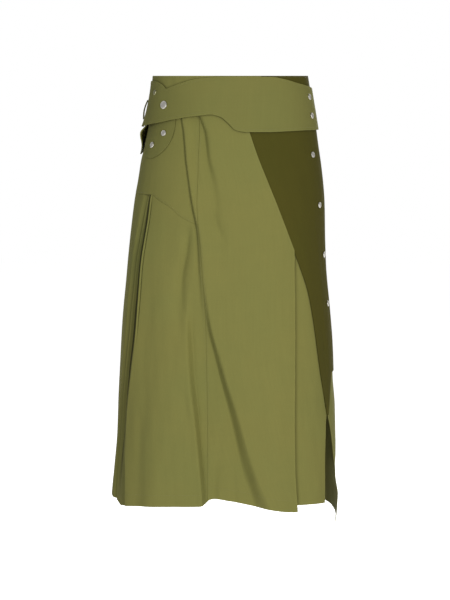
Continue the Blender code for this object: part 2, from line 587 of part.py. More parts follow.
def dark_panels(dark):
    """The dark side-front panel that ends in a point, and the dark side piece it laps over."""
    narrow = curve(DARK_NARROWS, "level")
    lapped, under = constant(PLACKET_LAP), constant(-PLACKET_LAP)

    def left(drop):
        return dark_edge(drop) + np.degrees(dark_tuck(drop) / radius(dark_edge(drop), drop))

    def flat_from(drop):
        line = ((1 - narrow(drop)) * (dark_edge(drop) + DARK_TURN)
                + narrow(drop) * between(left, placket, 0.5)(drop))
        return np.minimum(line, between(left, placket, 0.4)(drop))

    def lapped_from(drop):
        return np.maximum(placket(drop) - PLACKET_TURN, between(left, placket, 0.65)(drop))
    guides = [Guide(left, dark_edge_level, 1), Guide(flat_from, constant(0.0), 5),
              Guide(lapped_from, lapped, 3), Guide(placket, lapped, 0)]
    yield cloth("panel_front_dark", guides, body_rows(ROWS["waist"], ROWS["point"]), WALL, dark)

    rows = own_rows(constant(WAISTBAND_HEIGHT + SEAM / 2), curve(DARK_SIDE_HEM, "drop", "bearing"), 14)
    guides = [Guide(beside(placket, -13), under, 2), Guide(beside(placket, 2), under, 2),
              Guide(beside(placket, 18), constant(0), 2), Guide(constant(SIDE_TURN), constant(0), 5),
              Guide(beside(constant(SIDE_RIGHT), -SEAM / 2), constant(0), 0)]
    yield cloth("panel_side_dark", guides, rows, WALL, dark)


def side_right(light):
    """Side-back panel: its top lies under the dark side piece, its front edge is the slit's."""
    dark_hem = curve(DARK_SIDE_HEM, "drop", "bearing")

    def top(bearing):
        return dark_hem(bearing) - LAP

    def lift(bearing, drop):
        start, height = LAP_EASE
        return -LAP_DEPTH * (1 - ease((drop - dark_hem(bearing) - start) / height))

    def turned(drop):
        return np.maximum(slit_back(drop) + SLIT_TURN, SIDE_TURN)
    guides = [Guide(slit_back, swing_level, 4), Guide(turned, constant(0), 5),
              Guide(beside(constant(SIDE_RIGHT), -SEAM / 2), constant(0), 0)]
    rows = own_rows(top, curve(SIDE_HEM, "drop", "bearing"), 13)
    return cloth("panel_side_right", guides, rows, WALL, light, lift)


def back_right(light):
    flat = constant(0)
    guides = [Guide(beside(constant(SIDE_RIGHT), SEAM / 2), flat, 8),
              Guide(beside(constant(180), -SEAM / 2), flat, 0)]
    return cloth("panel_back_right", guides, body_rows(ROWS["waist"], ROWS["hem"]), WALL, light)


def belt_level(table, bulge=None):
    """Level of a belt at a bearing and drop, from close at its top to standing off below."""
    top, bottom = curve(table, "top", "bearing"), curve(table, "bottom", "bearing")
    high, low = curve(table, "level_top", "bearing"), curve(table, "level_bottom", "bearing")

    def level(bearing, drop):
        share = np.clip((drop - top(bearing)) / (bottom(bearing) - top(bearing)), 0, 1)
        out = high(bearing) + (low(bearing) - high(bearing)) * share ** BELT_FLARE
        if bulge:
            height = np.where(drop < bulge.drop, bulge.above, bulge.below)
            out = out + bulge.height * np.exp(-((drop - bulge.drop) / height) ** 2
                                              - ((bearing - bulge.bearing) / bulge.width) ** 2)
        return out
    return level


def belts(light):
    for name, table, stops, bulge in (("belt_front", BELT_FRONT, FRONT_STOPS, None),
                                      ("belt_back", BELT_BACK, BACK_STOPS, BELT_BULGE)):
        guides = [Guide(constant(stop.bearing), constant(0), stop.columns) for stop in stops]
        rows = own_rows(curve(table, "top", "bearing"), curve(table, "bottom", "bearing"), 7)
        yield cloth(name, guides, rows, BELT_WALL, light, belt_level(table, bulge), folded=False)


TAB_LEVEL = WALL / 2 + TAB_SEAT + TAB_WALL / 2


def hip_tab(light):
    stops = [row.bearing for row in TAB_EDGE]
    guides = [Guide(constant(bearing), constant(TAB_LEVEL), 1) for bearing in stops]
    rows = own_rows(constant(TAB_TOP), curve(TAB_EDGE, "drop", "bearing"), 5)
    return cloth("hip_tab", guides, rows, TAB_WALL, light)


def side_loop(light):
    on_belt = belt_level(BELT_FRONT)
    seat = BELT_WALL / 2 + SEAM + LOOP_WALL / 2

    def lift(bearing, drop):
        share = (drop - LOOP_TOP) / (LOOP_BOTTOM - LOOP_TOP)
        return on_belt(bearing, drop) + seat + LOOP_BULGE * math.sin(math.pi * share)
    guides = [Guide(constant(LOOP_BEARINGS[0]), constant(0), 2),
              Guide(constant(LOOP_BEARINGS[1]), constant(0), 0)]
    rows = own_rows(constant(LOOP_TOP), constant(LOOP_BOTTOM), 8)
    return cloth("side_loop", guides, rows, LOOP_WALL, light, lift, folded=False)


def snap(row, steel):
    """A pressed cap with a rolled rim, turned about the cloth's outward normal."""
    on_belt = belt_level(BELT_FRONT)

    def outer(bearing, drop):
        return {"belt": on_belt(bearing, drop) + BELT_WALL / 2,
                "tab": TAB_LEVEL + TAB_WALL / 2,
                "placket": PLACKET_LAP + WALL / 2}[row.on]

    def at(bearing, drop):
        return Vector(surface(bearing, drop, outer(bearing, drop), row.on != "belt") * MM)
    place = at(row.bearing, row.drop)
    around = at(row.bearing + 1.5, row.drop) - at(row.bearing - 1.5, row.drop)
    down = at(row.bearing, row.drop + 4) - at(row.bearing, row.drop - 4)
    normal = down.cross(around).normalized()

    rim, height = row.diameter / 2 * MM, row.height * MM
    mesh = bpy.data.meshes.new(row.name)
    mesh.from_pydata([(x * rim, 0, z * height) for x, z in CAP], [(k, k + 1) for k in range(len(CAP) - 1)],
                     [])
    piece = bpy.data.objects.new(row.name, mesh)
    screw = piece.modifiers.new("turned", "SCREW")
    screw.steps = SNAP_SIDES
    screw.render_steps = SNAP_SIDES
    screw.use_merge_vertices = True
    screw.merge_threshold = 0.00001
    piece.location = place + normal * (SNAP_SEAT * MM)
    piece.rotation_mode = "QUATERNION"
    piece.rotation_quaternion = normal.to_track_quat("Z", "Y")
    mesh.materials.append(steel)
    return piece


# ================================================================== assembly
def clear():
    for item in list(bpy.data.objects):
        bpy.data.objects.remove(item)


def main():
    clear()
    parts = bpy.data.collections.new("pleated_midi_skirt")
    bpy.context.scene.collection.children.link(parts)
    light = material("light_cloth", LIGHT_OLIVE, 0.85)
    dark = material("dark_cloth", DARK_OLIVE, 0.85)
    belt = material("belt_cloth", LIGHT_OLIVE, 0.82)
    steel = material("snap_steel", STEEL, 0.35, 1.0)
    covered = material("snap_cover", LIGHT_OLIVE, 0.8)

    pieces = [*waistbands(light, dark), *yokes(light), *left_pleats(light), front_centre(light),
              underlay(light), *dark_panels(dark), side_right(light), back_right(light), *belts(belt),
              hip_tab(belt), side_loop(belt)]
    pieces += [snap(row, covered if row.name == "snap_belt_covered" else steel) for row in SNAPS]
    waist = bpy.data.objects.new("waist_opening", None)
    parts.objects.link(waist)
    for piece in pieces:
        parts.objects.link(piece)
        piece.parent = waist


main()
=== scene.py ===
"""Pleated midi skirt: cloth, stitching and snaps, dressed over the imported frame.

Tables are in millimetres and degrees, the same as the frame's own construction:

    drop     how far below the waist edge
    bearing  angle round the body from the centre front, positive to the +X side
    level    how far a cloth's middle lies outside the body ring

A cloth piece is a fine net of points between guide lines that run down the body. The same `surface`
carries the cloth, the thread and the snaps.
"""
import math
from collections import namedtuple

import bpy
import numpy as np
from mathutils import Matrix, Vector

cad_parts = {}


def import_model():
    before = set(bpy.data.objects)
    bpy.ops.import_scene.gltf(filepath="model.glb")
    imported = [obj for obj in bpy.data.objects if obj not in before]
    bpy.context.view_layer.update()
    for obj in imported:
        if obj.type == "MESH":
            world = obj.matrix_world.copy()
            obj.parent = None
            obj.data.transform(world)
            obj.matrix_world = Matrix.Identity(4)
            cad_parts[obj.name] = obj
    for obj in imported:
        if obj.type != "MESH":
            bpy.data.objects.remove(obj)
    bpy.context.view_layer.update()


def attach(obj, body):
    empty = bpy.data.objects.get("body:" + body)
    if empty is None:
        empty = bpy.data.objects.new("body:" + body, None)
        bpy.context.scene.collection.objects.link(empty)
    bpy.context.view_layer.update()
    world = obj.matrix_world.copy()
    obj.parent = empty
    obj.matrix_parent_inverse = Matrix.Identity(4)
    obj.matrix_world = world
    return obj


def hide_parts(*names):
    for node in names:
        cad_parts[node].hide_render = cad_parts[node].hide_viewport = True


MM = 0.001
SEAM = 0.15                   # gap between neighbouring pieces
CENTRE_GAP = 0.25             # at the centre-front seam
WALL = 0.9                    # a single layer
BAND_WALL = 1.9               # waistband, two layers
BELT_WALL = 2.0               # belt, two layers and its stiffening
TAB_WALL = 1.3
LOOP_WALL = 1.7
BAND_RIM = 0.7                # radius of the rounding at the pieces' edges
BELT_RIM = 0.75
TAB_RIM = 0.45
LOOP_RIM = 0.4
LAYER_TIGHT = 1.05            # from layer to layer where a pleat is sewn down
LAYER_LOOSE = 2.6             # and where it hangs free
WAISTBAND_HEIGHT = 38.0
BELT_FLARE = 1.8              # how late the belt's stand-off grows from its upper to its lower edge

COLUMN = 3.0                  # spacing of the nets' columns and rows
CREASE_COLUMN = 1.6           # beside the sharp crease
GROOVE_COLUMN = 0.75          # across the groove beside the front pleat's edge
ROW = 5.0
FINE = (0.7, 1.7)             # extra columns and rows this far from an edge
HAIRPIN_STEPS = 6             # columns round a pressed fold
SEAM_ROLL = 0.12              # how far a sewn edge rolls in
SEAM_ROLL_WIDTH = 1.3

# ------------------------------------------------------------------ body ring
Section = namedtuple("Section", "drop half_width shift half_depth squareness")
SECTIONS = [
    Section(0, 136.5, 0.0, 98, 2.15),
    Section(42, 141.5, 2.0, 102, 2.20),
    Section(92, 147.5, 4.0, 108, 2.20),
    Section(122, 153.0, 2.5, 113, 2.25),
    Section(149, 158.5, 1.0, 118, 2.30),
    Section(177, 162.5, 0.5, 122, 2.30),
    Section(220, 168.0, -1.5, 127, 2.35),
    Section(291, 173.0, -5.0, 133, 2.40),
    Section(348, 177.0, -6.5, 137, 2.45),
    Section(405, 182.5, -6.5, 141, 2.50),
    Section(462, 187.0, -6.0, 145, 2.55),
    Section(519, 190.0, -6.5, 149, 2.60),
    Section(576, 192.5, -7.0, 152, 2.65),
    Section(633, 194.5, -7.5, 155, 2.70),
    Section(690, 197.5, -9.5, 158, 2.75),
    Section(750, 201.5, -11.0, 161, 2.80),
    Section(810, 204.0, -11.0, 163, 2.80),
]

# ------------------------------------------------------------------ seams and edges down the body
Mark = namedtuple("Mark", "drop bearing")
CENTRE_SEAM = [Mark(38, -33.5), Mark(73, -31.3), Mark(145, -27.0), Mark(214, -24.2), Mark(300, -19.0),
               Mark(404, -15.2), Mark(490, -13.9), Mark(560, -12.8), Mark(650, -11.8), Mark(755, -10.2)]
# The lines that the columns follow on each side of the centre seam, along the largest folds.
LEFT_WALL = [Mark(38, -47.5), Mark(73, -43.0), Mark(146, -34.6), Mark(184, -31.0), Mark(245, -25.6),
             Mark(290, -22.3), Mark(340, -21.5), Mark(400, -24.5), Mark(470, -24.0), Mark(537, -21.9),
             Mark(620, -18.1), Mark(681, -15.4), Mark(757, -13.0)]
RIGHT_WALL = [Mark(38, -28.5), Mark(70, -27.4), Mark(97, -23.4), Mark(145, -18.6), Mark(183, -14.2),
              Mark(250, -9.0), Mark(300, -6.5), Mark(370, -7.5), Mark(447, -6.5), Mark(490, -5.0),
              Mark(537, -1.1), Mark(580, 4.0), Mark(629, 8.7), Mark(681, 14.8), Mark(757, 26.5)]
PLEAT_ONE = [Mark(205, -59.5), Mark(259, -57.7), Mark(329, -57.9), Mark(433, -57.2), Mark(512, -58.4),
             Mark(592, -60.4), Mark(645, -60.5), Mark(696, -58.3), Mark(755, -56.4)]
PLEAT_TWO = [Mark(205, -61.9), Mark(246, -63.3), Mark(331, -65.8), Mark(436, -66.2), Mark(516, -67.9),
             Mark(596, -70.0), Mark(642, -70.5), Mark(703, -69.5), Mark(755, -68.0)]
DARK_EDGE = [Mark(38, 4.0), Mark(97, 15.1), Mark(175, 27.7), Mark(236, 37.3), Mark(302, 46.6),
             Mark(372, 54.7), Mark(416, 56.9), Mark(481, 58.4), Mark(540, 61.0), Mark(594, 64.0)]
PLEAT_RIGHT = [Mark(303, 46.8), Mark(388, 45.0), Mark(501, 42.3), Mark(654, 40.6), Mark(760, 41.6)]
SLIT_FRONT = [Mark(594, 64.0), Mark(610, 62.3), Mark(663, 60.7), Mark(706, 60.1), Mark(760, 59.0)]
PLACKET = [Mark(38, 80.0), Mark(130, 79.0), Mark(227, 77.5), Mark(314, 79.0), Mark(399, 78.5),
           Mark(464, 75.0), Mark(519, 71.5), Mark(560, 68.2), Mark(594, 65.4)]
SLIT_BACK = [Mark(505, 69.5), Mark(560, 66.8), Mark(594, 65.6), Mark(612, 67.4), Mark(640, 69.7),
             Mark(673, 73.5), Mark(705, 80.0), Mark(740, 86.0), Mark(775, 89.5), Mark(800, 92.0)]
SIDE_LEFT = -90.0             # side seam of waistband and yoke
SIDE_FLAT = -80.0             # the left side lies flat on the ring from here back
SIDE_TURN = 92.0              # just behind the right side
SIDE_RIGHT = 130.0            # seam between the side-back and back panels
BAND_JOINT = 30.0             # light and dark waistbands meet
PLEAT_DEPTH_TOP = 9.0         # degrees of cloth folded under a left pleat at the yoke seam
PLEAT_DEPTH_HEM = 13.0        # and at the hem
PLEAT_TOP = 205.0             # drop of the yoke seam at the left pleats
PLEAT_LENGTH = 545.0          # from there to the hem
LOOSENING = 90.0              # the pleats' layers loosen over this much drop
FAN_LENGTH = 160.0            # the yoke's columns fan out over this much drop
FAN_EDGE = -66.0              # bearings from which they fan out at the waistband
FAN_INNER = -60.0

# ------------------------------------------------------------------ lines round the body
Round = namedtuple("Round", "bearing drop")
YOKE_LINE = [Round(-180, 225), Round(-120, 211), Round(-90, 208), Round(-69, 207), Round(-59.6, 207),
             Round(-52.3, 216), Round(-43.4, 228), Round(-35, 244), Round(-24, 256), Round(0, 262),
             Round(90, 262), Round(135, 248), Round(180, 225)]
HEM = [Round(-180, 752), Round(-115, 751), Round(-92, 742), Round(-75, 741), Round(-69, 744),
       Round(-66, 748), Round(-63, 752), Round(-59, 751), Round(-47, 748), Round(-31, 746),
       Round(-15, 745), Round(-11.5, 741), Round(-9, 735), Round(-6, 734), Round(4, 738),
       Round(10, 741), Round(23, 749), Round(37, 756), Round(42, 757), Round(90, 757),
       Round(140, 756), Round(180, 752)]
UNDERLAY_HEM = 746.0
SIDE_HEM = [Round(58, 801), Round(88, 801), Round(94, 797), Round(103, 784), Round(117, 770),
            Round(130, 761), Round(142, 756)]
DARK_SIDE_HEM = [Round(60, 514), Round(75, 521), Round(88, 522), Round(97, 507), Round(108, 470),
                 Round(120, 422), Round(130, 382)]
PLEAT_LINE = 303.0            # where the right pleat opens
POINT_LINE = 594.0            # where the dark panel ends in its point
LINES = ("waist", "yoke", "pleat", "point", "hem")
BETWEEN_LINES = (222.0, 43.0, 291.0, 160.0)     # usual lengths of cloth from one line to the next

# ------------------------------------------------------------------ folds of the hanging cloth
# A fold crests at its bearing: `left` and `right` are its half-widths, `lean` pushes the crest
# sideways over the cloth beside it. A negative height is a trough.
Fold = namedtuple("Fold", "drop bearing left right height lean")
FOLDS = [
    # the long crease that starts sharp under the belt and widens towards the hem
    [Fold(38, -47.5, 5, 9, 0.0, 0), Fold(62, -44.5, 5, 9, 3.0, -0.5), Fold(90, -40.8, 5, 9, 5.0, -1.5),
     Fold(146, -33.8, 5, 9, 6.0, -1.5), Fold(184, -30.1, 5, 10, 6.0, -1.5),
     Fold(232, -24.7, 5, 12, 6.0, -1.5), Fold(275, -19.5, 6, 15, 6.0, -1.0),
     Fold(330, -16.6, 7, 20, 5.0, 0), Fold(400, -14.0, 8, 26, 3.0, 0), Fold(470, -8.0, 10, 30, 0, 0)],
    # soft trough to its right, from under the belt
    [Fold(38, -36.0, 12, 5, 0, 0), Fold(66, -33.0, 12, 5, -6.0, 0), Fold(97, -25.9, 11, 5, -6.5, 0),
     Fold(145, -20.0, 11, 5, -5.0, 0), Fold(183, -14.9, 12, 7, -4.0, 0),
     Fold(275, -8.0, 15, 11, -2.5, 0), Fold(345, -2.5, 15, 12, 0, 0)],
    # short trough left of the crease
    [Fold(245, -30.5, 8, 8, 0, 0), Fold(300, -29.7, 8, 9, -4, 0), Fold(348, -32.0, 10, 10, -5, 0),
     Fold(396, -32.9, 10, 13, -4, 0), Fold(455, -31.0, 10, 13, 0, 0)],
    # hidden side and back
    [Fold(210, -150, 18, 18, 0, 0), Fold(420, -147, 22, 26, -5, 0), Fold(760, -143, 30, 34, -12, 0)],
    [Fold(260, 168, 20, 20, 0, 0), Fold(460, 164, 24, 24, 4, 0), Fold(760, 160, 34, 30, 11, 0)],
    [Fold(240, 147, 14, 18, 0, 0), Fold(500, 144, 20, 22, -5, 0), Fold(760, 141, 24, 26, -10, 0)],
    [Fold(330, -98, 20, 22, 0, 0), Fold(760, -94, 30, 34, -6, 0)],
    # dent across the hanging corner beside the slit
    [Fold(652, 92, 40, 52, 0, 0), Fold(672, 92, 40, 52, -1, 0), Fold(688, 92, 40, 52, -5, 0),
     Fold(708, 92, 40, 52, -4.5, 0), Fold(745, 92, 40, 50, 1, 0), Fold(800, 94, 40, 50, 0, 0)],
]
# The wide shallow channel between two walls: each wall has its bearing and its width.
Channel = namedtuple("Channel", "drop left left_width right right_width depth")
CHANNEL = [
    Channel(350, -25.0, 13, -16.5, 8, 0), Channel(434, -25.0, 12, -12.0, 9, 8),
    Channel(490, -23.6, 11, -6.0, 11, 12.5), Channel(537, -21.9, 10, -0.8, 13, 15),
    Channel(580, -19.8, 9, 4.2, 15.5, 16.5), Channel(629, -17.7, 8.5, 8.8, 18.5, 17),
    Channel(681, -15.0, 8, 14.4, 22, 17), Channel(757, -11.6, 8, 24.5, 26, 16),
]
# How far the left pleats stand out below the yoke, and how much of that the cloth under the first does.
Depth = namedtuple("Depth", "drop level")
PLEAT_PROUD = [Depth(205, 0), Depth(260, 3.5), Depth(330, 7), Depth(480, 7), Depth(600, 5), Depth(755, 3)]
PROUD_START = -38.0           # bearing where the cloth begins to rise towards the pleats
PROUD_UNDER = 0.6
# How far the cloth dips between the two left pleats.
PLEAT_SUNK = [Depth(215, 0), Depth(300, 2.5), Depth(400, 4.5), Depth(480, 5), Depth(580, 5),
              Depth(665, 3), Depth(730, 0)]
LEFT_PLEATS_CLOSE = 750.0     # drop by which the shade in their crevices has faded out
# Finer folds and dents of the cloth, which the frame's solids leave out.
FINE_FOLDS = [
    # sharp valley under the long crease's left side
    [Fold(60, -47.0, 2.5, 2.5, 0, 0), Fold(76, -45.4, 2.5, 2.0, -1.6, 0), Fold(146, -36.2, 3, 2.0, -1.9, 0),
     Fold(215, -29.3, 3, 2.0, -2.0, 0), Fold(271, -23.3, 3, 2.4, -2.3, 0), Fold(330, -20.5, 4, 3.2, -2.2, 0),
     Fold(362, -19.4, 4, 4, -1.6, 0), Fold(430, -17.4, 4, 4, 0, 0)],
    # softer valley along the right of its light ridge
    [Fold(60, -38.2, 3, 4, 0, 0), Fold(77, -36.7, 3, 4, -1.6, 0), Fold(111, -33.0, 3, 4, -1.3, 0),
     Fold(154, -28.0, 4, 5, -1.0, 0), Fold(197, -24.0, 4, 6, 0, 0)],
    # raised cloth right of the soft trough
    [Fold(70, -28.3, 4, 12, 0, 0), Fold(92, -25.1, 4, 13, 1.8, 0), Fold(111, -21.9, 4, 14, 2.0, 0),
     Fold(154, -15.5, 5, 16, 1.6, 0), Fold(210, -9.3, 8, 20, 0, 0)],
    # groove pressed in beside the front pleat's edge
    [Fold(209, -58.3, 0.9, 1.1, 0, 0), Fold(222, -57.8, 0.9, 1.1, -2.6, 0),
     Fold(259, -56.9, 0.9, 1.1, -3.2, 0), Fold(329, -57.1, 0.9, 1.1, -3.2, 0),
     Fold(410, -56.6, 0.9, 1.2, -2.6, 0), Fold(470, -56.8, 1.0, 1.4, 0, 0)],
    # puckers of the waistband where it shows above the belt's notch
    [Fold(2, -57.0, 6, 5, 0, 0), Fold(12, -55.0, 6, 5, -1.0, 0), Fold(20, -53.0, 6, 5, 0, 0)],
    [Fold(4, -48.0, 5, 6, 0, 0), Fold(14, -46.0, 5, 6, -0.9, 0), Fold(24, -44.0, 5, 6, 0, 0)],
    # small soft dent
    [Fold(226, -14.5, 4, 5, 0, 0), Fold(244, -11.4, 4, 6, -1.5, 0), Fold(264, -7.7, 4, 6, -1.8, 0),
     Fold(280, -4.0, 5, 7, -1.0, 0), Fold(300, -1.0, 5, 7, 0, 0)],
    # kinked valley left of the crease
    [Fold(258, -27.2, 4, 4, 0, 0), Fold(274, -28.4, 4, 4, -1.8, 0), Fold(313, -29.9, 4, 5, -2.1, 0),
     Fold(346, -31.4, 5, 5, -1.8, 0), Fold(392, -30.4, 5, 6, -1.3, 0), Fold(420, -28.0, 6, 6, 0, 0)],
    # second valley, running into the channel's left wall
    [Fold(404, -26.4, 5, 4, 0, 0), Fold(430, -25.0, 5, 4, -2.0, 0), Fold(499, -23.4, 5, 4, -2.6, 0),
     Fold(561, -20.9, 5, 4, -2.6, 0), Fold(605, -18.6, 6, 5, 0, 0)],
    # blotch of shade left of it
    [Fold(540, -27.4, 9, 6, 0, 0), Fold(574, -25.6, 9, 6, -1.8, 0), Fold(610, -24.4, 9, 7, 0, 0)],
    # ripples along the hem inside the channel
    [Fold(640, -5.4, 6, 7, 0, 0), Fold(700, -6.1, 6, 7, -2.0, 0), Fold(757, -6.6, 7, 8, -3.0, 0)],
    [Fold(652, 4.6, 6, 7, 0, 0), Fold(703, 5.8, 6, 7, -1.8, 0), Fold(757, 6.8, 7, 8, -2.6, 0)],
    [Fold(672, 15.0, 6, 8, 0, 0), Fold(710, 16.4, 6, 8, -1.0, 0), Fold(757, 18.4, 7, 9, -1.6, 0)],
    # slack across the left panel and the centre panel
    [Fold(250, -46.0, 16, 18, 0, 0), Fold(420, -43.0, 18, 20, 1.4, 0), Fold(757, -40.0, 24, 24, 3.0, 0)],
    [Fold(330, -52.0, 9, 10, 0, 0), Fold(560, -51.0, 10, 12, -1.2, 0), Fold(757, -50.0, 12, 14, -2.4, 0)],
    [Fold(140, 2.0, 14, 18, 0, 0), Fold(230, 12.0, 16, 22, -1.4, 0), Fold(330, 22.0, 18, 22, 0, 0)],
    [Fold(420, 30.0, 14, 14, 0, 0), Fold(600, 31.5, 16, 15, 1.3, 0), Fold(757, 33.0, 18, 16, 2.2, 0)],
    # under the belt at the right, and the dark panel's slack
    [Fold(96, 50.0, 14, 14, 0, 0), Fold(170, 56.0, 14, 14, -1.2, 0), Fold(330, 65.0, 10, 10, 0, 0)],
    [Fold(230, 62.0, 9, 8, 0, 0), Fold(360, 67.0, 8, 8, 1.0, 0), Fold(500, 66.0, 6, 6, 0, 0)],
    # hidden side and back, in the manner of the front's
    [Fold(120, -166, 8, 10, 0, 0), Fold(210, -162, 9, 12, -1.5, 0), Fold(430, -157, 12, 16, -2.2, 0),
     Fold(757, -160, 16, 20, -3.2, 0)],
    [Fold(150, 152, 8, 10, 0, 0), Fold(300, 156, 10, 12, 1.6, 0), Fold(540, 152, 12, 14, 2.2, 0),
     Fold(757, 149, 16, 18, 3.0, 0)],
    [Fold(210, -120, 6, 9, 0, 0), Fold(360, -124, 8, 10, -1.6, 0), Fold(560, -128, 10, 12, -2.0, 0),
     Fold(757, -131, 12, 16, -3.0, 0)],
    [Fold(330, 112, 9, 9, 0, 0), Fold(560, 114, 12, 12, -1.8, 0), Fold(800, 118, 14, 14, -3.2, 0)],
    [Fold(340, 176, 10, 12, 0, 0), Fold(560, 178, 12, 14, -1.6, 0), Fold(757, 176, 16, 18, -3.0, 0)],
]
FOLD_END = 60.0               # a fold's last row holds this far below its drop
# Faint waves all over the cloth, which grow from the hips down.
Ripple = namedtuple("Ripple", "height turns per_drop start")
RIPPLES = [Ripple(0.22, 11, 0.013, 0.4), Ripple(0.16, 23, -0.021, 2.1), Ripple(0.10, 37, 0.034, 4.0),
           Ripple(0.07, 61, -0.047, 1.3)]
RIPPLE_DROPS = (100.0, 700.0)
RIPPLE_SHARES = (0.4, 1.6)    # of their height, at those two drops

# ------------------------------------------------------------------ belt, tab and loop
Belt = namedtuple("Belt", "bearing top bottom level_top level_bottom")
BELT_FRONT = [
    Belt(-96, 14, 90, 2.4, 12.0), Belt(-84, 9, 89, 2.3, 13.5), Belt(-76, 8.6, 86.2, 2.5, 12.3),
    Belt(-69.2, 11.2, 84, 2.9, 11.3), Belt(-63, 16.5, 81.8, 3.2, 10.7), Belt(-59.5, 22.5, 80.3, 3.4, 10.3),
    Belt(-54.8, 19, 77.8, 3.7, 10.1), Belt(-47.7, 13.8, 74.8, 3.9, 9.8), Belt(-36.5, 6.8, 70.6, 3.5, 9.0),
    Belt(-29.6, 4.6, 69, 3.2, 8.0), Belt(-20.2, 3, 67, 2.8, 6.0), Belt(-11.3, 2, 71, 2.6, 4.6),
    Belt(-4.7, 2, 81, 2.6, 4.0), Belt(2.7, 2, 94, 2.6, 3.6), Belt(10.8, 2, 97, 2.6, 3.2),
    Belt(30, 2, 97.5, 2.6, 3.0), Belt(39, 2, 97, 2.7, 3.0), Belt(50.4, 6, 96, 3.0, 3.3),
    Belt(64.7, 14, 95, 3.3, 3.6), Belt(74.9, 18, 95, 3.4, 3.8), Belt(84.5, 21, 95, 3.4, 3.6),
    Belt(104, 22, 95, 2.8, 3.2),
]
BELT_BACK = [
    Belt(-256, 22, 95, 2.8, 3.2), Belt(-220, 13, 98, 2.6, 3.2), Belt(-180, 10, 106, 2.6, 3.4),
    Belt(-150, 14, 114, 2.8, 5.0), Belt(-120, 26, 126, 3.0, 8.0), Belt(-106, 42, 135, 3.4, 8.5),
    Belt(-98, 62, 139, 3.8, 6.0), Belt(-90, 62, 136, 4.2, 3.4), Belt(-87, 62, 128, 4.2, 4.0),
]
# The back belt's end bulges out below the front belt.
Bulge = namedtuple("Bulge", "bearing width drop above below height")
BELT_BULGE = Bulge(-88, 10, 100, 10, 17, 9.6)
TAB_TOP = 70.0
TAB_SEAT = 0.2                # clear of the yoke
TAB_EDGE = [Round(-86, 100), Round(-83, 120), Round(-77, 136), Round(-71, 142.5), Round(-66, 144),
            Round(-61, 140.5), Round(-56.5, 133), Round(-53, 122), Round(-51, 108), Round(-50.2, 92)]
LOOP_TOP = 43.0
LOOP_BOTTOM = 77.0
LOOP_BEARINGS = (-94.6, -91.4)
LOOP_BULGE = 3.0
LOOP_SEAT = 1.5               # clear of the belt

Snap = namedtuple("Snap", "name bearing drop on diameter height")
SNAPS = [
    Snap("snap_belt_large", -59.5, 51, "belt", 14.3, 2.4),
    Snap("snap_belt_covered", -71.8, 29, "belt", 9.5, 1.6),
    Snap("snap_tab_upper", -58.9, 100, "tab", 10.4, 2.0),
    Snap("snap_tab_lower", -67.7, 121, "tab", 10.4, 2.0),
    Snap("snap_belt_side_upper", 73.5, 37, "belt", 10.4, 1.8),
    Snap("snap_belt_side_lower", 72.5, 70, "belt", 10.4, 1.8),
    Snap("snap_placket_1", 67.5, 138, "placket", 10.4, 2.0),
    Snap("snap_placket_2", 69.5, 226, "placket", 10.4, 2.0),
    Snap("snap_placket_3", 74.5, 314, "placket", 10.4, 2.0),
    Snap("snap_placket_4", 74.0, 400, "placket", 10.4, 2.0),
]
SNAP_SEAT = 0.1               # clear of the cloth it is set on
SNAP_SIDES = 56


# ================================================================== curves
def curve(rows, column, key="drop"):
    """A smooth function through one column of a table, level beyond its ends."""
    xs = np.array([getattr(row, key) for row in rows], float)
    ys = np.array([getattr(row, column) for row in rows], float)
    steps = np.diff(ys) / np.diff(xs)
    slopes = np.zeros(len(xs))
    for i in range(1, len(xs) - 1):
        before, after = steps[i - 1], steps[i]
        if before * after > 0:
            slopes[i] = 2 * before * after / (before + after)
    slopes[0], slopes[-1] = steps[0], steps[-1]

    def value(x):
        x = np.clip(np.asarray(x, float), xs[0], xs[-1])
        i = np.clip(np.searchsorted(xs, x, side="right") - 1, 0, len(xs) - 2)
        span = xs[i + 1] - xs[i]
        t = (x - xs[i]) / span
        return (ys[i] * (1 + 2 * t) * (1 - t) ** 2 + slopes[i] * span * t * (1 - t) ** 2
                + ys[i + 1] * t * t * (3 - 2 * t) + slopes[i + 1] * span * t * t * (t - 1))
    return value


def constant(number):
    return lambda x: np.zeros_like(np.asarray(x, float)) + number


def ease(x):
    """0 below 0, 1 above 1, smooth between."""
    x = np.clip(x, 0, 1)
    return x * x * (3 - 2 * x)


half_width = curve(SECTIONS, "half_width")
shift = curve(SECTIONS, "shift")
half_depth = curve(SECTIONS, "half_depth")
squareness = curve(SECTIONS, "squareness")
yoke_line = curve(YOKE_LINE, "drop", "bearing")
hem_line = curve(HEM, "drop", "bearing")
centre_seam = curve(CENTRE_SEAM, "bearing")
pleat_one = curve(PLEAT_ONE, "bearing")
pleat_two = curve(PLEAT_TWO, "bearing")
dark_edge = curve(DARK_EDGE, "bearing")
pleat_right = curve(PLEAT_RIGHT, "bearing")
slit_front = curve(SLIT_FRONT, "bearing")
placket = curve(PLACKET, "bearing")
slit_back = curve(SLIT_BACK, "bearing")


# ================================================================== the body ring and its folds
def radius(bearing, drop):
    """Distance from the body's middle line to the ring, a rounded oval."""
    angle = np.radians(bearing)
    n = squareness(drop)
    across = np.abs(np.sin(angle) / half_width(drop)) ** n
    through = np.abs(np.cos(angle) / half_depth(drop)) ** n
    return (across + through) ** (-1 / n)


def ring(bearing, drop):
    """Point of the ring, its outward normal and its direction of growing bearing, in plan."""
    def at(degrees):
        angle = np.radians(degrees)
        reach = radius(degrees, drop)
        return np.stack([shift(drop) + reach * np.sin(angle), -reach * np.cos(angle)], -1)
    along = at(bearing + 0.1) - at(bearing - 0.1)
    along /= np.linalg.norm(along, axis=-1, keepdims=True)
    outward = np.stack([along[..., 1], -along[..., 0]], -1)
    return at(bearing), outward, along


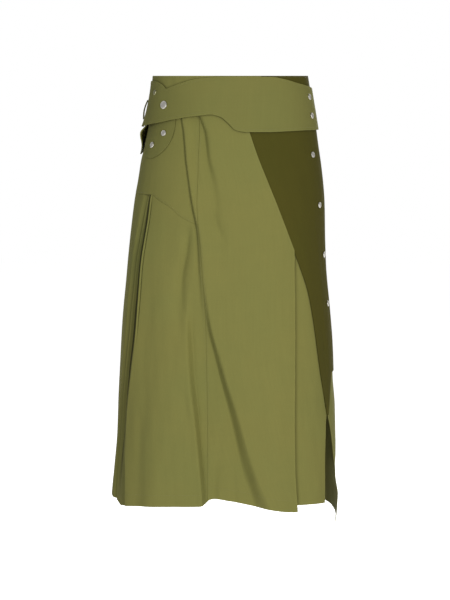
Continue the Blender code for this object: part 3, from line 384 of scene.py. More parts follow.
def turn(bearing, other):
    """Signed difference of two bearings, the short way round."""
    return (bearing - other + 180) % 360 - 180


def fold_curves(folds):
    return [{name: curve(rows, name) for name in Fold._fields[1:]} for rows in folds]


ALL_FOLDS = list(zip(FOLDS + FINE_FOLDS, fold_curves(FOLDS + FINE_FOLDS)))
CHANNEL_CURVES = {name: curve(CHANNEL, name) for name in Channel._fields[1:]}


def relief(bearing, drop):
    """How far the hanging cloth stands out and leans aside at a place, in mm."""
    out = np.zeros(np.broadcast(bearing, drop).shape)
    aside = np.zeros_like(out)
    per_degree = radius(bearing, drop) * math.pi / 180
    for rows, fold in ALL_FOLDS:
        away = turn(bearing, fold["bearing"](drop)) * per_degree
        width = np.where(away < 0, fold["left"](drop), fold["right"](drop))
        inside = (drop >= rows[0].drop) & (drop <= rows[-1].drop + FOLD_END)
        shape = np.exp(-(away / width) ** 2) * inside
        out += fold["height"](drop) * shape
        aside += fold["lean"](drop) * shape
    channel = {name: value(drop) for name, value in CHANNEL_CURVES.items()}
    fall = ease(turn(bearing, channel["left"]) * per_degree / channel["left_width"] + 0.5)
    rise = ease(turn(bearing, channel["right"]) * per_degree / channel["right_width"] + 0.5)
    out -= channel["depth"] * fall * (1 - rise)
    (least, most), (first, last) = RIPPLE_SHARES, RIPPLE_DROPS
    loose = least + (most - least) * ease((drop - first) / (last - first))
    for row in RIPPLES:
        out += row.height * loose * np.sin(np.radians(bearing) * row.turns + row.per_drop * drop + row.start)
    return out, aside


def surface(bearing, drop, level, folded=True):
    """Point of a cloth's middle surface, in mm."""
    bearing, drop, level = np.broadcast_arrays(np.asarray(bearing, float), drop, level)
    plan, outward, along = ring(bearing, drop)
    if folded:
        out, aside = relief(bearing, drop)
        plan = plan + outward * (level + out)[..., None] + along * aside[..., None]
    else:
        plan = plan + outward * level[..., None]
    return np.concatenate([plan, -drop[..., None]], -1)


# ================================================================== nets of cloth
HEM_DROP = 900.0              # below every hem
SHADE_FADE = 130.0            # a crevice's shade fades out over this much drop
FAR = 99.0                    # stands for far from any seam or edge, in mm
FIRST_DROP = 300.0            # the search for where a row meets a guide starts from here
SEARCH_STEPS = 6
RIM_ANGLE = 55.0              # sharper edges than this are rounded
SIZES = {}                    # by piece: its longest row, its longest column and its area, in metres
NARROWEST = 0.0101            # no sheet is declared under 10 mm wide, and the loop is about 9 mm wide
# From a guide with a `bow`, the cloth goes to the next guide in a pressed fold that bows that way.
# `proud` is a guide's share of the piece's lift, `shade` how much painted shade it gets deep in a pleat's
# crevice, 0 to 1.
Guide = namedtuple("Guide", "bearing level bow spacing proud shade", defaults=(0, COLUMN, 1.0, 0.0))
Rows = namedtuple("Rows", "place params")


def beside(line, distance):
    """A line moved round the body by a distance in mm."""
    return lambda drop: line(drop) + np.degrees(distance / radius(line(drop), drop))


def between(first, second, share):
    return lambda drop: (1 - share) * first(drop) + share * second(drop)


def short_of(first, second, distance, share):
    """A line this far past the first, at most this share of the way to the second."""
    return lambda drop: np.minimum(beside(first, distance)(drop), between(first, second, share)(drop))


def spread(length, spacing, fine_start=False, fine_end=False):
    """Shares of a length at an even spacing, with closer ones beside its ends where asked."""
    count = max(1, math.ceil(length / spacing))
    shares = [k / count for k in range(count + 1)]
    if fine_start and count > 1:
        shares += [away / length for away in FINE if away < 0.6 * length / count]
    if fine_end and count > 1:
        shares += [1 - away / length for away in FINE if away < 0.6 * length / count]
    return np.array(sorted(shares))


def body_rows(first, last, hem=hem_line):
    """Rows of points from one of the body's lines to another."""
    lines = [constant(WAISTBAND_HEIGHT), yoke_line, constant(PLEAT_LINE), constant(POINT_LINE), hem]
    start, end = LINES.index(first), LINES.index(last)
    params = []
    for k in range(start, end):
        params.extend(k + spread(BETWEEN_LINES[k], ROW, k == start, k == end - 1)[:-1])
    params.append(end)

    def place(param, bearing):
        drop = 0
        for k in range(start, end):
            share = param - k
            inside = (share >= 0) & (share < 1) if k < end - 1 else share >= 0
            drop = drop + inside * ((1 - share) * lines[k](bearing) + share * lines[k + 1](bearing))
        drop = drop + SEAM / 2 * (param == start)
        return drop - SEAM / 2 * (param == end) * (last != "hem")
    return Rows(place, np.array(params, float))


def own_rows(top, bottom, length):
    """Rows of a piece with its own upper and lower edge, about `length` long."""
    def place(param, bearing):
        return (1 - param) * top(bearing) + param * bottom(bearing)
    return Rows(place, spread(length, ROW, True, True))


def span_points(first, second, shares, rows, lift, folded):
    """Points of the net between two guides."""
    params, shares = rows.params[:, None], shares[None, :]
    bearing = first.bearing(FIRST_DROP) + 0 * params * shares
    for _ in range(SEARCH_STEPS):
        drop = rows.place(params, bearing)
        bearing = (1 - shares) * first.bearing(drop) + shares * second.bearing(drop)
    upper, lower = first.level(drop), second.level(drop)
    level = (1 - shares) * upper + shares * lower
    if first.bow:
        half = (upper - lower) / 2
        level = (upper + lower) / 2 + half * np.cos(math.pi * shares)
        aside = first.bow * np.abs(half) * np.sin(math.pi * shares)
        bearing = bearing + np.degrees(aside / radius(bearing, drop))
    if lift:
        level = level + ((1 - shares) * first.proud + shares * second.proud) * lift(bearing, drop)
    return surface(bearing, drop, level, folded)


def net(guides, rows, lift=None, folded=True):
    """Points of a cloth and, for each column, whether it lies on a pressed fold, and its shade."""
    blocks, pressed, shade = [], [], []
    last_span = len(guides) - 2
    middle = rows.params[len(rows.params) // 2]
    for k, (first, second) in enumerate(zip(guides, guides[1:])):
        if first.bow:
            shares = np.arange(HAIRPIN_STEPS + 1) / HAIRPIN_STEPS
        else:
            start = first.bearing(rows.place(middle, first.bearing(FIRST_DROP)))
            drops = rows.place(rows.params, start)
            apart = np.abs(second.bearing(drops) - first.bearing(drops)) * math.pi / 180
            apart = apart * radius(first.bearing(drops), drops)
            shares = spread(float(apart.max()), first.spacing, k == 0, k == last_span)
        if k < last_span:
            shares = shares[:-1]
        blocks.append(span_points(first, second, shares, rows, lift, folded))
        pressed += [bool(first.bow)] * len(shares)
        shade += list((1 - shares) * first.shade + shares * second.shade)
    return np.concatenate(blocks, 1), np.array(pressed), np.array(shade)


def grid_normals(points):
    across = np.gradient(points, axis=1)
    down = np.gradient(points, axis=0)
    normal = np.cross(down, across)
    return normal / np.maximum(np.linalg.norm(normal, axis=-1, keepdims=True), 1e-9)


def lengths(points, axis):
    """Distance along the cloth from the net's first row or column."""
    steps = np.linalg.norm(np.diff(points, axis=axis), axis=-1)
    start = np.zeros_like(np.take(steps, [0], axis=axis))
    return np.concatenate([start, np.cumsum(steps, axis=axis)], axis=axis)


def cloth(name, guides, rows, wall, finish, lift=None, folded=True, skip=None, sewn="", rim=0.3,
          shaded_to=HEM_DROP):
    """A piece of cloth: its net, its sewn edges rolled in, its wall and its rounded rim.

    `sewn` names the net's edges that are seams, of first, last, top and bottom. The shade of its
    pleats fades out above the drop `shaded_to`.
    """
    points, pressed, shade = net(guides, rows, lift, folded)
    across, down = lengths(points, 1), lengths(points, 0)
    shade = shade[None, :] * ease((shaded_to + points[..., 2]) / SHADE_FADE)
    edges = {"first": across, "last": across[:, -1:] - across, "top": down, "bottom": down[-1:] - down}
    seam, free = np.full(across.shape, FAR), np.full(across.shape, FAR)
    for edge, away in edges.items():
        if edge in sewn:
            seam = np.minimum(seam, away)
        else:
            free = np.minimum(free, away)
    for j in np.nonzero(pressed)[0]:
        free = np.minimum(free, np.abs(across - across[:, j:j + 1]))
    roll = SEAM_ROLL * np.exp(-(seam / SEAM_ROLL_WIDTH) ** 2)
    points = points - grid_normals(points) * roll[..., None]

    count, width = across.shape
    i, j = np.meshgrid(np.arange(count - 1), np.arange(width - 1), indexing="ij")
    keep = np.ones(i.shape, bool) if skip is None else ~skip(rows.params[i], pressed, j)
    i, j = i[keep], j[keep]
    faces = np.stack([i * width + j, (i + 1) * width + j, (i + 1) * width + j + 1, i * width + j + 1], -1)
    used, faces = np.unique(faces, return_inverse=True)
    faces = faces.reshape(-1, 4)
    points = points.reshape(-1, 3)[used]
    mesh = bpy.data.meshes.new(name)
    mesh.from_pydata((points * MM).tolist(), [], faces.tolist())
    middle = width // 2
    flat = np.stack([across - across[:, middle:middle + 1], -down], -1).reshape(-1, 2)[used] * MM
    layer = mesh.uv_layers.new(name="cloth")
    layer.data.foreach_set("uv", flat[faces.reshape(-1)].reshape(-1).astype(np.float32))
    for label, values in (("seam_mm", seam), ("edge_mm", free), ("shade", shade)):
        attribute = mesh.attributes.new(label, "FLOAT", "POINT")
        attribute.data.foreach_set("value", values.reshape(-1)[used].astype(np.float32))
    mesh.shade_smooth()
    piece = bpy.data.objects.new("cloth_" + name, mesh)
    bpy.context.scene.collection.objects.link(piece)
    solidify = piece.modifiers.new("wall", "SOLIDIFY")
    solidify.thickness = wall * MM
    solidify.offset = 0
    solidify.use_even_offset = True
    bevel = piece.modifiers.new("rim", "BEVEL")
    bevel.width = rim * MM
    bevel.segments = 2
    bevel.limit_method = "ANGLE"
    bevel.angle_limit = math.radians(RIM_ANGLE)
    mesh.materials.append(finish)
    a, b, c, d = np.moveaxis(points[faces], 1, 0)
    area = sum(np.linalg.norm(np.cross(one - a, other - a), axis=-1).sum() / 2
               for one, other in ((b, c), (c, d)))
    SIZES[name] = (float(across[:, -1].max()) * MM, float(down[-1].max()) * MM, float(area) * MM * MM)
    return piece


# ================================================================== materials
def nodes_of(name):
    """A new material, its tree, its shader and the place on the object."""
    made = bpy.data.materials.new(name)
    made.use_nodes = True
    tree = made.node_tree
    return made, tree, tree.nodes["Principled BSDF"], node(tree, "ShaderNodeTexCoord").outputs["Object"]


def node(tree, kind, inputs=(), **settings):
    """A shader node; `inputs` pairs a socket's name or number with a value or another socket."""
    made = tree.nodes.new(kind)
    for key, value in settings.items():
        setattr(made, key, value)
    for key, value in dict(inputs).items():
        if isinstance(value, bpy.types.NodeSocket):
            tree.links.new(value, made.inputs[key])
        else:
            made.inputs[key].default_value = value
    return made


def maths(tree, operation, first, second=0.0, third=0.0):
    return node(tree, "ShaderNodeMath", {0: first, 1: second, 2: third}, operation=operation).outputs[0]


def noise(tree, vector, scale, detail=3.0, roughness=0.55):
    return node(tree, "ShaderNodeTexNoise", {"Vector": vector, "Scale": scale, "Detail": detail,
                                             "Roughness": roughness}).outputs["Fac"]


def stretched(tree, vector, across, down):
    return node(tree, "ShaderNodeVectorMath", {0: vector, 1: (across, down, 1.0)},
                operation="MULTIPLY").outputs[0]


def between_values(tree, value, low, high, to_low, to_high):
    return node(tree, "ShaderNodeMapRange", {"Value": value, "From Min": low, "From Max": high,
                                             "To Min": to_low, "To Max": to_high}).outputs[0]


def scaled(tree, value, factor, offset):
    return maths(tree, "MULTIPLY_ADD", value, factor, offset)


def product(tree, first, *others):
    for other in others:
        first = maths(tree, "MULTIPLY", first, other)
    return first


def wave(tree, angle):
    """A sine that runs from 0 to 1."""
    return scaled(tree, maths(tree, "SINE", angle), 0.5, 0.5)


def attribute(tree, name):
    return node(tree, "ShaderNodeAttribute", attribute_name=name).outputs["Fac"]


def paint(tree, shader, colour, bright):
    """The base colour: a colour times a brightness."""
    made = node(tree, "ShaderNodeVectorMath", {0: colour, "Scale": bright}, operation="SCALE")
    tree.links.new(made.outputs[0], shader.inputs["Base Color"])


def emboss(tree, shader, height, strength, depth):
    bump = node(tree, "ShaderNodeBump", {"Height": height, "Strength": strength, "Distance": depth})
    tree.links.new(bump.outputs[0], shader.inputs["Normal"])


def settle(shader, values):
    for socket, value in values.items():
        shader.inputs[socket].default_value = value


TWILL = 1500.0                # diagonal ribs per metre of cloth
TWILL_RUN = (0.55, 0.84)      # how fast their phase runs across and down the cloth
YARN = 2300.0                 # yarns per metre
CREVICE = 0.007               # cloth this close to its neighbour is in a crevice and gets painted shade
CREVICE_SHADE = 0.30
PLEAT_SHADE = 0.15            # brightness left by the painted shade deepest in a pleat
COOL = (0.985, 1.012, 1.0)    # the mottling's two tints
WARM = (1.02, 0.99, 0.96)


def twill_cloth(name, colour, roughness=0.84, sheen=0.07):
    """Cotton twill: fine diagonal ribs, uneven yarns, soft mottling, pressed edges paler from wear and a
    painted sheen, painted shade in seams, pleats and crevices.
    """
    made, tree, shader, place = nodes_of(name)
    uv = node(tree, "ShaderNodeUVMap", uv_map="cloth").outputs[0]
    u, v, _ = node(tree, "ShaderNodeSeparateXYZ", {0: uv}).outputs
    across, down = (TWILL * 2 * math.pi * run for run in TWILL_RUN)
    rib = wave(tree, maths(tree, "ADD", product(tree, u, across), product(tree, v, down)))
    yarn = wave(tree, product(tree, u, YARN * 2 * math.pi))
    warp = noise(tree, stretched(tree, uv, 420.0, 9.0), 1.0, 4.0, 0.6)
    weft = noise(tree, stretched(tree, uv, 8.0, 380.0), 1.0, 3.0, 0.6)
    fuzz = noise(tree, place, 900.0, 2.0)
    mottle = noise(tree, place, 7.0, 4.0)
    blotch = noise(tree, place, 38.0, 3.0)

    # painted shade: ambient occlusion darkens the colour in crevices
    near = node(tree, "ShaderNodeAmbientOcclusion", {"Distance": CREVICE}, samples=6).outputs["AO"]
    bright = product(
        tree, scaled(tree, warp, 0.11, 0.945), scaled(tree, weft, 0.06, 0.97),
        scaled(tree, mottle, 0.10, 0.95), scaled(tree, blotch, 0.06, 0.97), scaled(tree, rib, 0.07, 0.965),
        # painted shade: the colour is darker in the groove beside a seam
        between_values(tree, attribute(tree, "seam_mm"), 0.2, 1.4, 0.95, 1.0),
        # wear and painted sheen: the colour is paler along free edges and pressed folds
        between_values(tree, attribute(tree, "edge_mm"), 0.4, 2.4, 1.10, 1.0),
        # painted shade in the pleats' crevices, from the shade attribute
        between_values(tree, attribute(tree, "shade"), 0.0, 1.0, 1.0, PLEAT_SHADE),
        between_values(tree, near, 0.25, 0.85, CREVICE_SHADE, 1.0))
    warmth = between_values(tree, mottle, 0.3, 0.7, 0.0, 1.0)
    cool, warm = ((*[c * k for c, k in zip(colour, tint)], 1) for tint in (COOL, WARM))
    mixed = node(tree, "ShaderNodeMix", {"Factor": warmth, 6: cool, 7: warm}, data_type="RGBA")
    paint(tree, shader, mixed.outputs[2], bright)

    tree.links.new(scaled(tree, fuzz, 0.10, roughness - 0.05), shader.inputs["Roughness"])
    settle(shader, {"Specular IOR Level": 0.12, "Sheen Weight": sheen, "Sheen Roughness": 0.45,
                    "Sheen Tint": (*[min(1.0, c * 2.6) for c in colour], 1)})
    height = product(tree, rib, 0.55)
    for part, share in ((yarn, 0.2), (warp, 0.7), (weft, 0.4), (fuzz, 0.35)):
        height = maths(tree, "ADD", height, product(tree, part, share))
    emboss(tree, shader, height, 0.35, 0.00022)
    return made


def thread_finish(name, colour):
    """Twisted sewing thread with a faint gloss."""
    made, tree, shader, place = nodes_of(name)
    grain = noise(tree, place, 1400.0, 2.0)
    tone = noise(tree, place, 30.0, 2.0)
    paint(tree, shader, colour,
          product(tree, scaled(tree, grain, 0.30, 0.85), scaled(tree, tone, 0.12, 0.94)))
    tree.links.new(scaled(tree, grain, 0.2, 0.5), shader.inputs["Roughness"])
    emboss(tree, shader, grain, 0.4, 0.0001)
    return made


def satin_nickel(name, colour):
    """Satin nickel: fine tumbled grain, faint smudges, slightly uneven polish."""
    made, tree, shader, place = nodes_of(name)
    grain = noise(tree, place, 2600.0, 3.0)
    smudge = noise(tree, place, 160.0, 3.0)
    paint(tree, shader, colour,
          product(tree, scaled(tree, grain, 0.12, 0.94), scaled(tree, smudge, 0.16, 0.90)))
    settle(shader, {"Metallic": 1.0})
    rough = maths(tree, "ADD", scaled(tree, smudge, 0.14, 0.30), product(tree, grain, 0.06))
    tree.links.new(rough, shader.inputs["Roughness"])
    emboss(tree, shader, grain, 0.25, 0.00005)
    return made


# ================================================================== cloth pieces
def layer(number):
    """Level of a layer under a left pleat: close at the yoke seam, looser below it."""
    def level(drop):
        loose = ease((drop - PLEAT_TOP) / LOOSENING)
        return -number * (LAYER_TIGHT + (LAYER_LOOSE - LAYER_TIGHT) * loose)
    return level


def pleat_inner(drop):
    """Where the cloth under the left pleats turns back."""
    share = ease((drop - PLEAT_TOP) / PLEAT_LENGTH)
    return pleat_one(drop) + (1 - share) * PLEAT_DEPTH_TOP + share * PLEAT_DEPTH_HEM


pleat_proud = curve(PLEAT_PROUD, "level")
pleat_sunk = curve(PLEAT_SUNK, "level")


def sunk(number):
    """Level of a layer where it dips between the two left pleats."""
    return lambda drop: layer(number)(drop) - pleat_sunk(drop)


def pleat_lift(bearing, drop):
    """How far the left pleats' cloth stands out, front and back alike."""
    front = np.where(bearing < SIDE_LEFT, 2 * SIDE_LEFT - bearing, bearing)
    rise = np.clip((PROUD_START - front) / (PROUD_START - pleat_one(drop)), 0, 1) ** 2
    fall = ease((front - SIDE_FLAT) / (pleat_two(drop) - SIDE_FLAT))
    return pleat_proud(drop) * rise * fall


def mirrored(line):
    """The same line on the back half of the left side."""
    return lambda drop: 2 * SIDE_LEFT - line(drop)


def fan(line, start):
    """A line that leaves the waistband at `start` and has joined `line` at the yoke seam."""
    return lambda drop: start + (line(drop) - start) * ease((drop - WAISTBAND_HEIGHT) / FAN_LENGTH)


def beside_wall(end):
    """Guides from left of the long crease to the centre-front seam."""
    wall = curve(LEFT_WALL, "bearing")
    flat = constant(0)
    return [Guide(beside(wall, -10), flat, 0, CREASE_COLUMN), Guide(wall, flat, 0, CREASE_COLUMN),
            Guide(between(wall, end, 0.6), flat, 0, CREASE_COLUMN), Guide(end, flat)]


def waistbands(light, dark):
    top, bottom = constant(0.0), constant(WAISTBAND_HEIGHT - SEAM / 2)
    spans = [("waistband_back", SIDE_RIGHT - 360, SIDE_LEFT, light),
             ("waistband_front", SIDE_LEFT, BAND_JOINT, light),
             ("waistband_side", BAND_JOINT, SIDE_RIGHT, dark)]
    for name, first, last, finish in spans:
        guides = [Guide(beside(constant(first), SEAM / 2), constant(0)),
                  Guide(beside(constant(last), -SEAM / 2), constant(0))]
        yield cloth(name, guides, own_rows(top, bottom, WAISTBAND_HEIGHT), BAND_WALL, finish,
                    sewn="first last bottom", rim=BAND_RIM)


def yokes(light):
    rows = body_rows("waist", "yoke")
    flat = constant(0)
    end = beside(centre_seam, -CENTRE_GAP / 2)
    edge, inner = fan(pleat_one, FAN_EDGE), fan(pleat_inner, FAN_INNER)
    guides = [Guide(beside(constant(SIDE_LEFT), SEAM / 2), flat), Guide(constant(SIDE_FLAT), flat),
              Guide(edge, flat), Guide(inner, flat), *beside_wall(end)]
    yield cloth("yoke_left", guides, rows, WALL, light, sewn="first last top bottom")
    guides = [Guide(beside(constant(-180), SEAM / 2), flat), Guide(mirrored(inner), flat),
              Guide(mirrored(edge), flat), Guide(mirrored(constant(SIDE_FLAT)), flat),
              Guide(beside(constant(SIDE_LEFT), -SEAM / 2), flat)]
    yield cloth("yoke_back", guides, rows, WALL, light, sewn="first last top bottom")


def left_pleats(light):
    """Front, side and back cloth below the yoke, folded into each other at the pleats."""
    rows = body_rows("yoke", "hem")
    turned = between(pleat_one, pleat_inner, 0.5)
    fold = beside(centre_seam, -CENTRE_GAP / 2)
    flat = layer(0)
    guides = [Guide(beside(turned, SEAM / 2), layer(2), 0, COLUMN, PROUD_UNDER),
              Guide(pleat_inner, layer(2), 1, COLUMN, PROUD_UNDER),
              Guide(pleat_inner, layer(1)), Guide(pleat_one, layer(1), -1),
              Guide(pleat_one, flat, 0, GROOVE_COLUMN), Guide(beside(pleat_one, 6), flat),
              Guide(pleat_inner, flat), *beside_wall(fold)]
    yield cloth("panel_front_left", guides, rows, WALL, light, pleat_lift, sewn="first last top")

    # lines this far in front of the second pleat, at most this share of the way to the first
    dip, deep, rise, risen = (short_of(pleat_two, pleat_one, distance, share) for distance, share in
                              ((4, 0.2), (6, 0.35), (14, 0.55), (18.5, 0.75)))
    # each row's last number is how much painted shade its crevice gets
    front = [Guide(constant(SIDE_FLAT), flat),
             *[Guide(line, level, bow, CREASE_COLUMN, PROUD_UNDER, shade) for line, level, bow, shade in [
                 # inwards and forwards, under the second pleat, to its hidden turn
                 (beside(pleat_two, -14), layer(0.8), 0, 0), (beside(pleat_two, -3), layer(3.6), 0, 0.2),
                 (pleat_two, layer(4), 0, 1), (dip, sunk(4), 0, 1), (pleat_one, sunk(4), 0, 1),
                 (pleat_inner, layer(4), 1, 1),
                 # back to the second pleat's edge
                 (pleat_inner, layer(3), 0, 1), (pleat_one, sunk(3), 0, 1), (dip, sunk(3), 0, 1),
                 (pleat_two, layer(3), -1, 0.6),
                 # and forwards again, dipping between the pleats, to the seam under the first
                 (pleat_two, layer(2), 0, 0), (dip, sunk(2), 0, 0.1), (deep, sunk(2), 0, 0.95),
                 (rise, sunk(2), 0, 0.85), (risen, layer(2), 0, 0.25),
                 (pleat_one, layer(2), 0, 0.3), (beside(turned, -SEAM / 2), layer(2), 0, 1)]]]
    back = []
    for k in range(len(front) - 1, -1, -1):
        bow = -front[k - 1].bow if k else 0
        back.append(front[k]._replace(bearing=mirrored(front[k].bearing), bow=bow))
    middle = Guide(constant(SIDE_LEFT), flat)
    yield cloth("panel_side_left", [*back, middle, *front], rows, WALL, light, pleat_lift,
                sewn="first last top", shaded_to=LEFT_PLEATS_CLOSE)

    inner, edge = mirrored(pleat_inner), mirrored(pleat_one)
    guides = [Guide(beside(constant(-180), SEAM / 2), flat), Guide(inner, flat),
              Guide(edge, flat, 1), Guide(edge, layer(1)), Guide(inner, layer(1), -1),
              Guide(inner, layer(2), 0, COLUMN, PROUD_UNDER),
              Guide(beside(mirrored(turned), -SEAM / 2), layer(2), 0, COLUMN, PROUD_UNDER)]
    yield cloth("panel_back_left", guides, rows, WALL, light, pleat_lift, sewn="first last top")


# Levels round the right pleat and the dark panel, by drop.
dark_edge_level = curve([Depth(38, -1.6), Depth(303, -1.6), Depth(345, -0.8), Depth(390, 0),
                         Depth(600, 0)], "level")
turn_under_level = curve([Depth(303, -1.6), Depth(335, -1.7), Depth(400, -2.4), Depth(760, -2.4)],
                         "level")
underlay_level = curve([Depth(303, -3.4), Depth(335, -3.5), Depth(400, -4.8), Depth(760, -4.8)],
                       "level")
underlay_edge_level = curve([Depth(303, -3.4), Depth(345, -2.6), Depth(390, -1.8), Depth(575, -1.8),
                             Depth(600, -1.0), Depth(625, 0), Depth(760, 0)], "level")
underlay_tuck = curve([Round(303, 3.0), Round(520, 3.0), Round(570, -SEAM), Round(760, -SEAM)],
                      "drop", "bearing")
turn_under_width = curve([Round(303, 5), Round(335, 9), Round(400, 20), Round(460, 28),
                          Round(760, 30)], "drop", "bearing")
PLACKET_LAP = 1.0             # the dark panel's edge lies this far out, its underlap this far in
DARK_RAMP = 6.0               # degrees over which the dark panel rises from under its neighbour
PLACKET_WIDTH = 11.0          # degrees of it that lie out over its underlap
LAP_DEPTH = 1.9               # how far under the dark side piece the side panel's top lies
LAP = 6.0                     # how far its top reaches up behind that piece's hem
LAP_END = 14.0                # this far below that hem it begins to rise to the ring
LAP_RISE = 50.0               # and it has risen after this much more
SLIT_TURN = 14.0              # degrees behind the slit where it lies on the ring
PLEAT_OPENS = LINES.index("pleat") + 0.02
PLEAT_HOLLOW = 4.5            # how far the cloth dips beside the right pleat's edge
HOLLOW_START = 60.0           # the hollow deepens over this much drop
INNER_ABOVE = 2.8             # above the opening, the inner column lies this many degrees off the edge


def front_centre(light):
    """From the centre-front seam to the right pleat, with the pleat's turn-under."""
    flat = constant(0)
    start = beside(centre_seam, CENTRE_GAP / 2)

    def right_edge(drop):
        return np.where(drop < PLEAT_LINE, dark_edge(drop), pleat_right(drop))

    def over_inner(drop):
        return np.where(drop < PLEAT_LINE, right_edge(drop) - INNER_ABOVE, turned_under(drop))
    wall = curve(RIGHT_WALL, "bearing")
    guides = [Guide(start, flat, 0, CREASE_COLUMN), Guide(between(start, wall, 0.5), flat),
              Guide(beside(wall, -3), flat), Guide(beside(wall, 7), flat), Guide(over_inner, flat),
              Guide(right_edge, flat, 1), Guide(pleat_right, turn_under_level),
              Guide(turned_under, turn_under_level)]

    def above_opening(param, pressed, column):
        return (column >= np.nonzero(pressed)[0][0]) & (param < PLEAT_OPENS)
    return cloth("panel_front_centre", guides, body_rows("waist", "hem"), WALL, light,
                 skip=above_opening, sewn="first top")


def turned_under(drop):
    """Inner edge of the right pleat's turn-under."""
    return pleat_right(drop) - np.degrees(turn_under_width(drop) / radius(pleat_right(drop), drop))


def underlay(light):
    def edge(drop):
        line = np.where(drop < POINT_LINE, dark_edge(drop), slit_front(drop))
        return line + np.degrees(underlay_tuck(drop) / radius(line, drop))

    def hollow(depth):
        return lambda drop: underlay_level(drop) - depth * ease((drop - PLEAT_LINE) / HOLLOW_START)

    # lines beside the pleat's edge, over which the hollow grows shallower
    near, far, end = (short_of(pleat_right, edge, distance, share) for distance, share in
                      ((2.4, 0.2), (5.5, 0.4), (9.0, 0.6)))
    # their shade paints a dark shadow line beside the pleat's edge
    guides = [Guide(turned_under, underlay_level, shade=1),
              Guide(beside(pleat_right, -3), hollow(PLEAT_HOLLOW), shade=1),
              Guide(near, hollow(PLEAT_HOLLOW), 0, CREASE_COLUMN, shade=0.85),
              Guide(far, hollow(PLEAT_HOLLOW * 0.7), 0, CREASE_COLUMN, shade=0.2),
              Guide(end, hollow(PLEAT_HOLLOW * 0.35)), Guide(edge, underlay_edge_level)]
    return cloth("pleat_underlay", guides, body_rows("pleat", "hem", constant(UNDERLAY_HEM)),
                 WALL, light, sewn="first")


def dark_panels(dark):
    tuck = curve([Round(38, -3.0), Round(260, -3.0), Round(290, SEAM / 2), Round(600, SEAM / 2)],
                 "drop", "bearing")
    share = curve([Round(38, 0.0), Round(420, 0.0), Round(540, 1.0)], "drop", "bearing")
    lapped = constant(PLACKET_LAP)

    def left(drop):
        return dark_edge(drop) + np.degrees(tuck(drop) / radius(dark_edge(drop), drop))

    def ramp(drop):
        line = ((1 - share(drop)) * (dark_edge(drop) + DARK_RAMP)
                + share(drop) * between(left, placket, 0.5)(drop))
        return np.minimum(line, between(left, placket, 0.4)(drop))

    def inner(drop):
        return np.maximum(placket(drop) - PLACKET_WIDTH, between(left, placket, 0.65)(drop))
    guides = [Guide(left, dark_edge_level), Guide(ramp, constant(0.0)), Guide(inner, lapped),
              Guide(placket, lapped)]
    yield cloth("panel_front_dark", guides, body_rows("waist", "point"), WALL, dark, sewn="top")

    rows = own_rows(constant(WAISTBAND_HEIGHT + SEAM / 2), curve(DARK_SIDE_HEM, "drop", "bearing"), 470)
    guides = [Guide(beside(placket, -13), constant(-PLACKET_LAP)),
              Guide(beside(placket, 2), constant(-PLACKET_LAP)),
              Guide(beside(placket, 18), constant(0)), Guide(constant(SIDE_TURN), constant(0)),
              Guide(beside(constant(SIDE_RIGHT), -SEAM / 2), constant(0))]
    yield cloth("panel_side_dark", guides, rows, WALL, dark, sewn="last top")


def side_right(light):
    """Side-back panel: its top lies under the dark side piece, its front edge is the slit's."""
    dark_hem = curve(DARK_SIDE_HEM, "drop", "bearing")
    swing = curve([Depth(480, -1.0), Depth(594, -0.6), Depth(640, 0.0), Depth(740, 0.5), Depth(765, -1.0),
                   Depth(801, -4.0)], "level")

    def top(bearing):
        return dark_hem(bearing) - LAP

    def lift(bearing, drop):
        below = drop - dark_hem(bearing)
        return -LAP_DEPTH * (1 - ease((below - LAP_END) / LAP_RISE))

    def turned(drop):
        return np.maximum(slit_back(drop) + SLIT_TURN, SIDE_TURN)
    guides = [Guide(slit_back, swing), Guide(turned, constant(0)),
              Guide(beside(constant(SIDE_RIGHT), -SEAM / 2), constant(0))]
    rows = own_rows(top, curve(SIDE_HEM, "drop", "bearing"), 300)
    return cloth("panel_side_right", guides, rows, WALL, light, lift, sewn="last")


def back_right(light):
    flat = constant(0)
    guides = [Guide(beside(constant(SIDE_RIGHT), SEAM / 2), flat),
              Guide(beside(constant(180), -SEAM / 2), flat)]
    return cloth("panel_back_right", guides, body_rows("waist", "hem"), WALL, light,
                 sewn="first last top")


def belt_level(table):
    """Level of a belt at a bearing and drop, from close at its top to standing off below."""
    top, bottom = curve(table, "top", "bearing"), curve(table, "bottom", "bearing")
    high, low = curve(table, "level_top", "bearing"), curve(table, "level_bottom", "bearing")
    bulge = BELT_BULGE if table is BELT_BACK else None

    def level(bearing, drop):
        share = np.clip((drop - top(bearing)) / (bottom(bearing) - top(bearing)), 0, 1)
        out = high(bearing) + (low(bearing) - high(bearing)) * share ** BELT_FLARE
        if bulge:
            height = np.where(drop < bulge.drop, bulge.above, bulge.below)
            out = out + bulge.height * np.exp(-((drop - bulge.drop) / height) ** 2
                                              - ((bearing - bulge.bearing) / bulge.width) ** 2)
        return out
    return level


def belts(finish):
    for name, table in (("belt_front", BELT_FRONT), ("belt_back", BELT_BACK)):
        first, last = table[0].bearing, table[-1].bearing
        end = beside(constant(last), -SEAM) if name == "belt_front" else constant(last)
        guides = [Guide(constant(first), constant(0)), Guide(constant((first + last) / 2), constant(0)),
                  Guide(end, constant(0))]
        rows = own_rows(curve(table, "top", "bearing"), curve(table, "bottom", "bearing"), 90)
        yield cloth(name, guides, rows, BELT_WALL, finish, belt_level(table), folded=False,
                    sewn="last" if name == "belt_front" else "first", rim=BELT_RIM)


TAB_LEVEL = WALL / 2 + TAB_SEAT + TAB_WALL / 2


def hip_tab(finish):
    guides = [Guide(constant(bearing), constant(TAB_LEVEL))
              for bearing in (TAB_EDGE[0].bearing, -68.0, TAB_EDGE[-1].bearing)]
    rows = own_rows(constant(TAB_TOP), curve(TAB_EDGE, "drop", "bearing"), 74)
    return cloth("hip_tab", guides, rows, TAB_WALL, finish, rim=TAB_RIM)


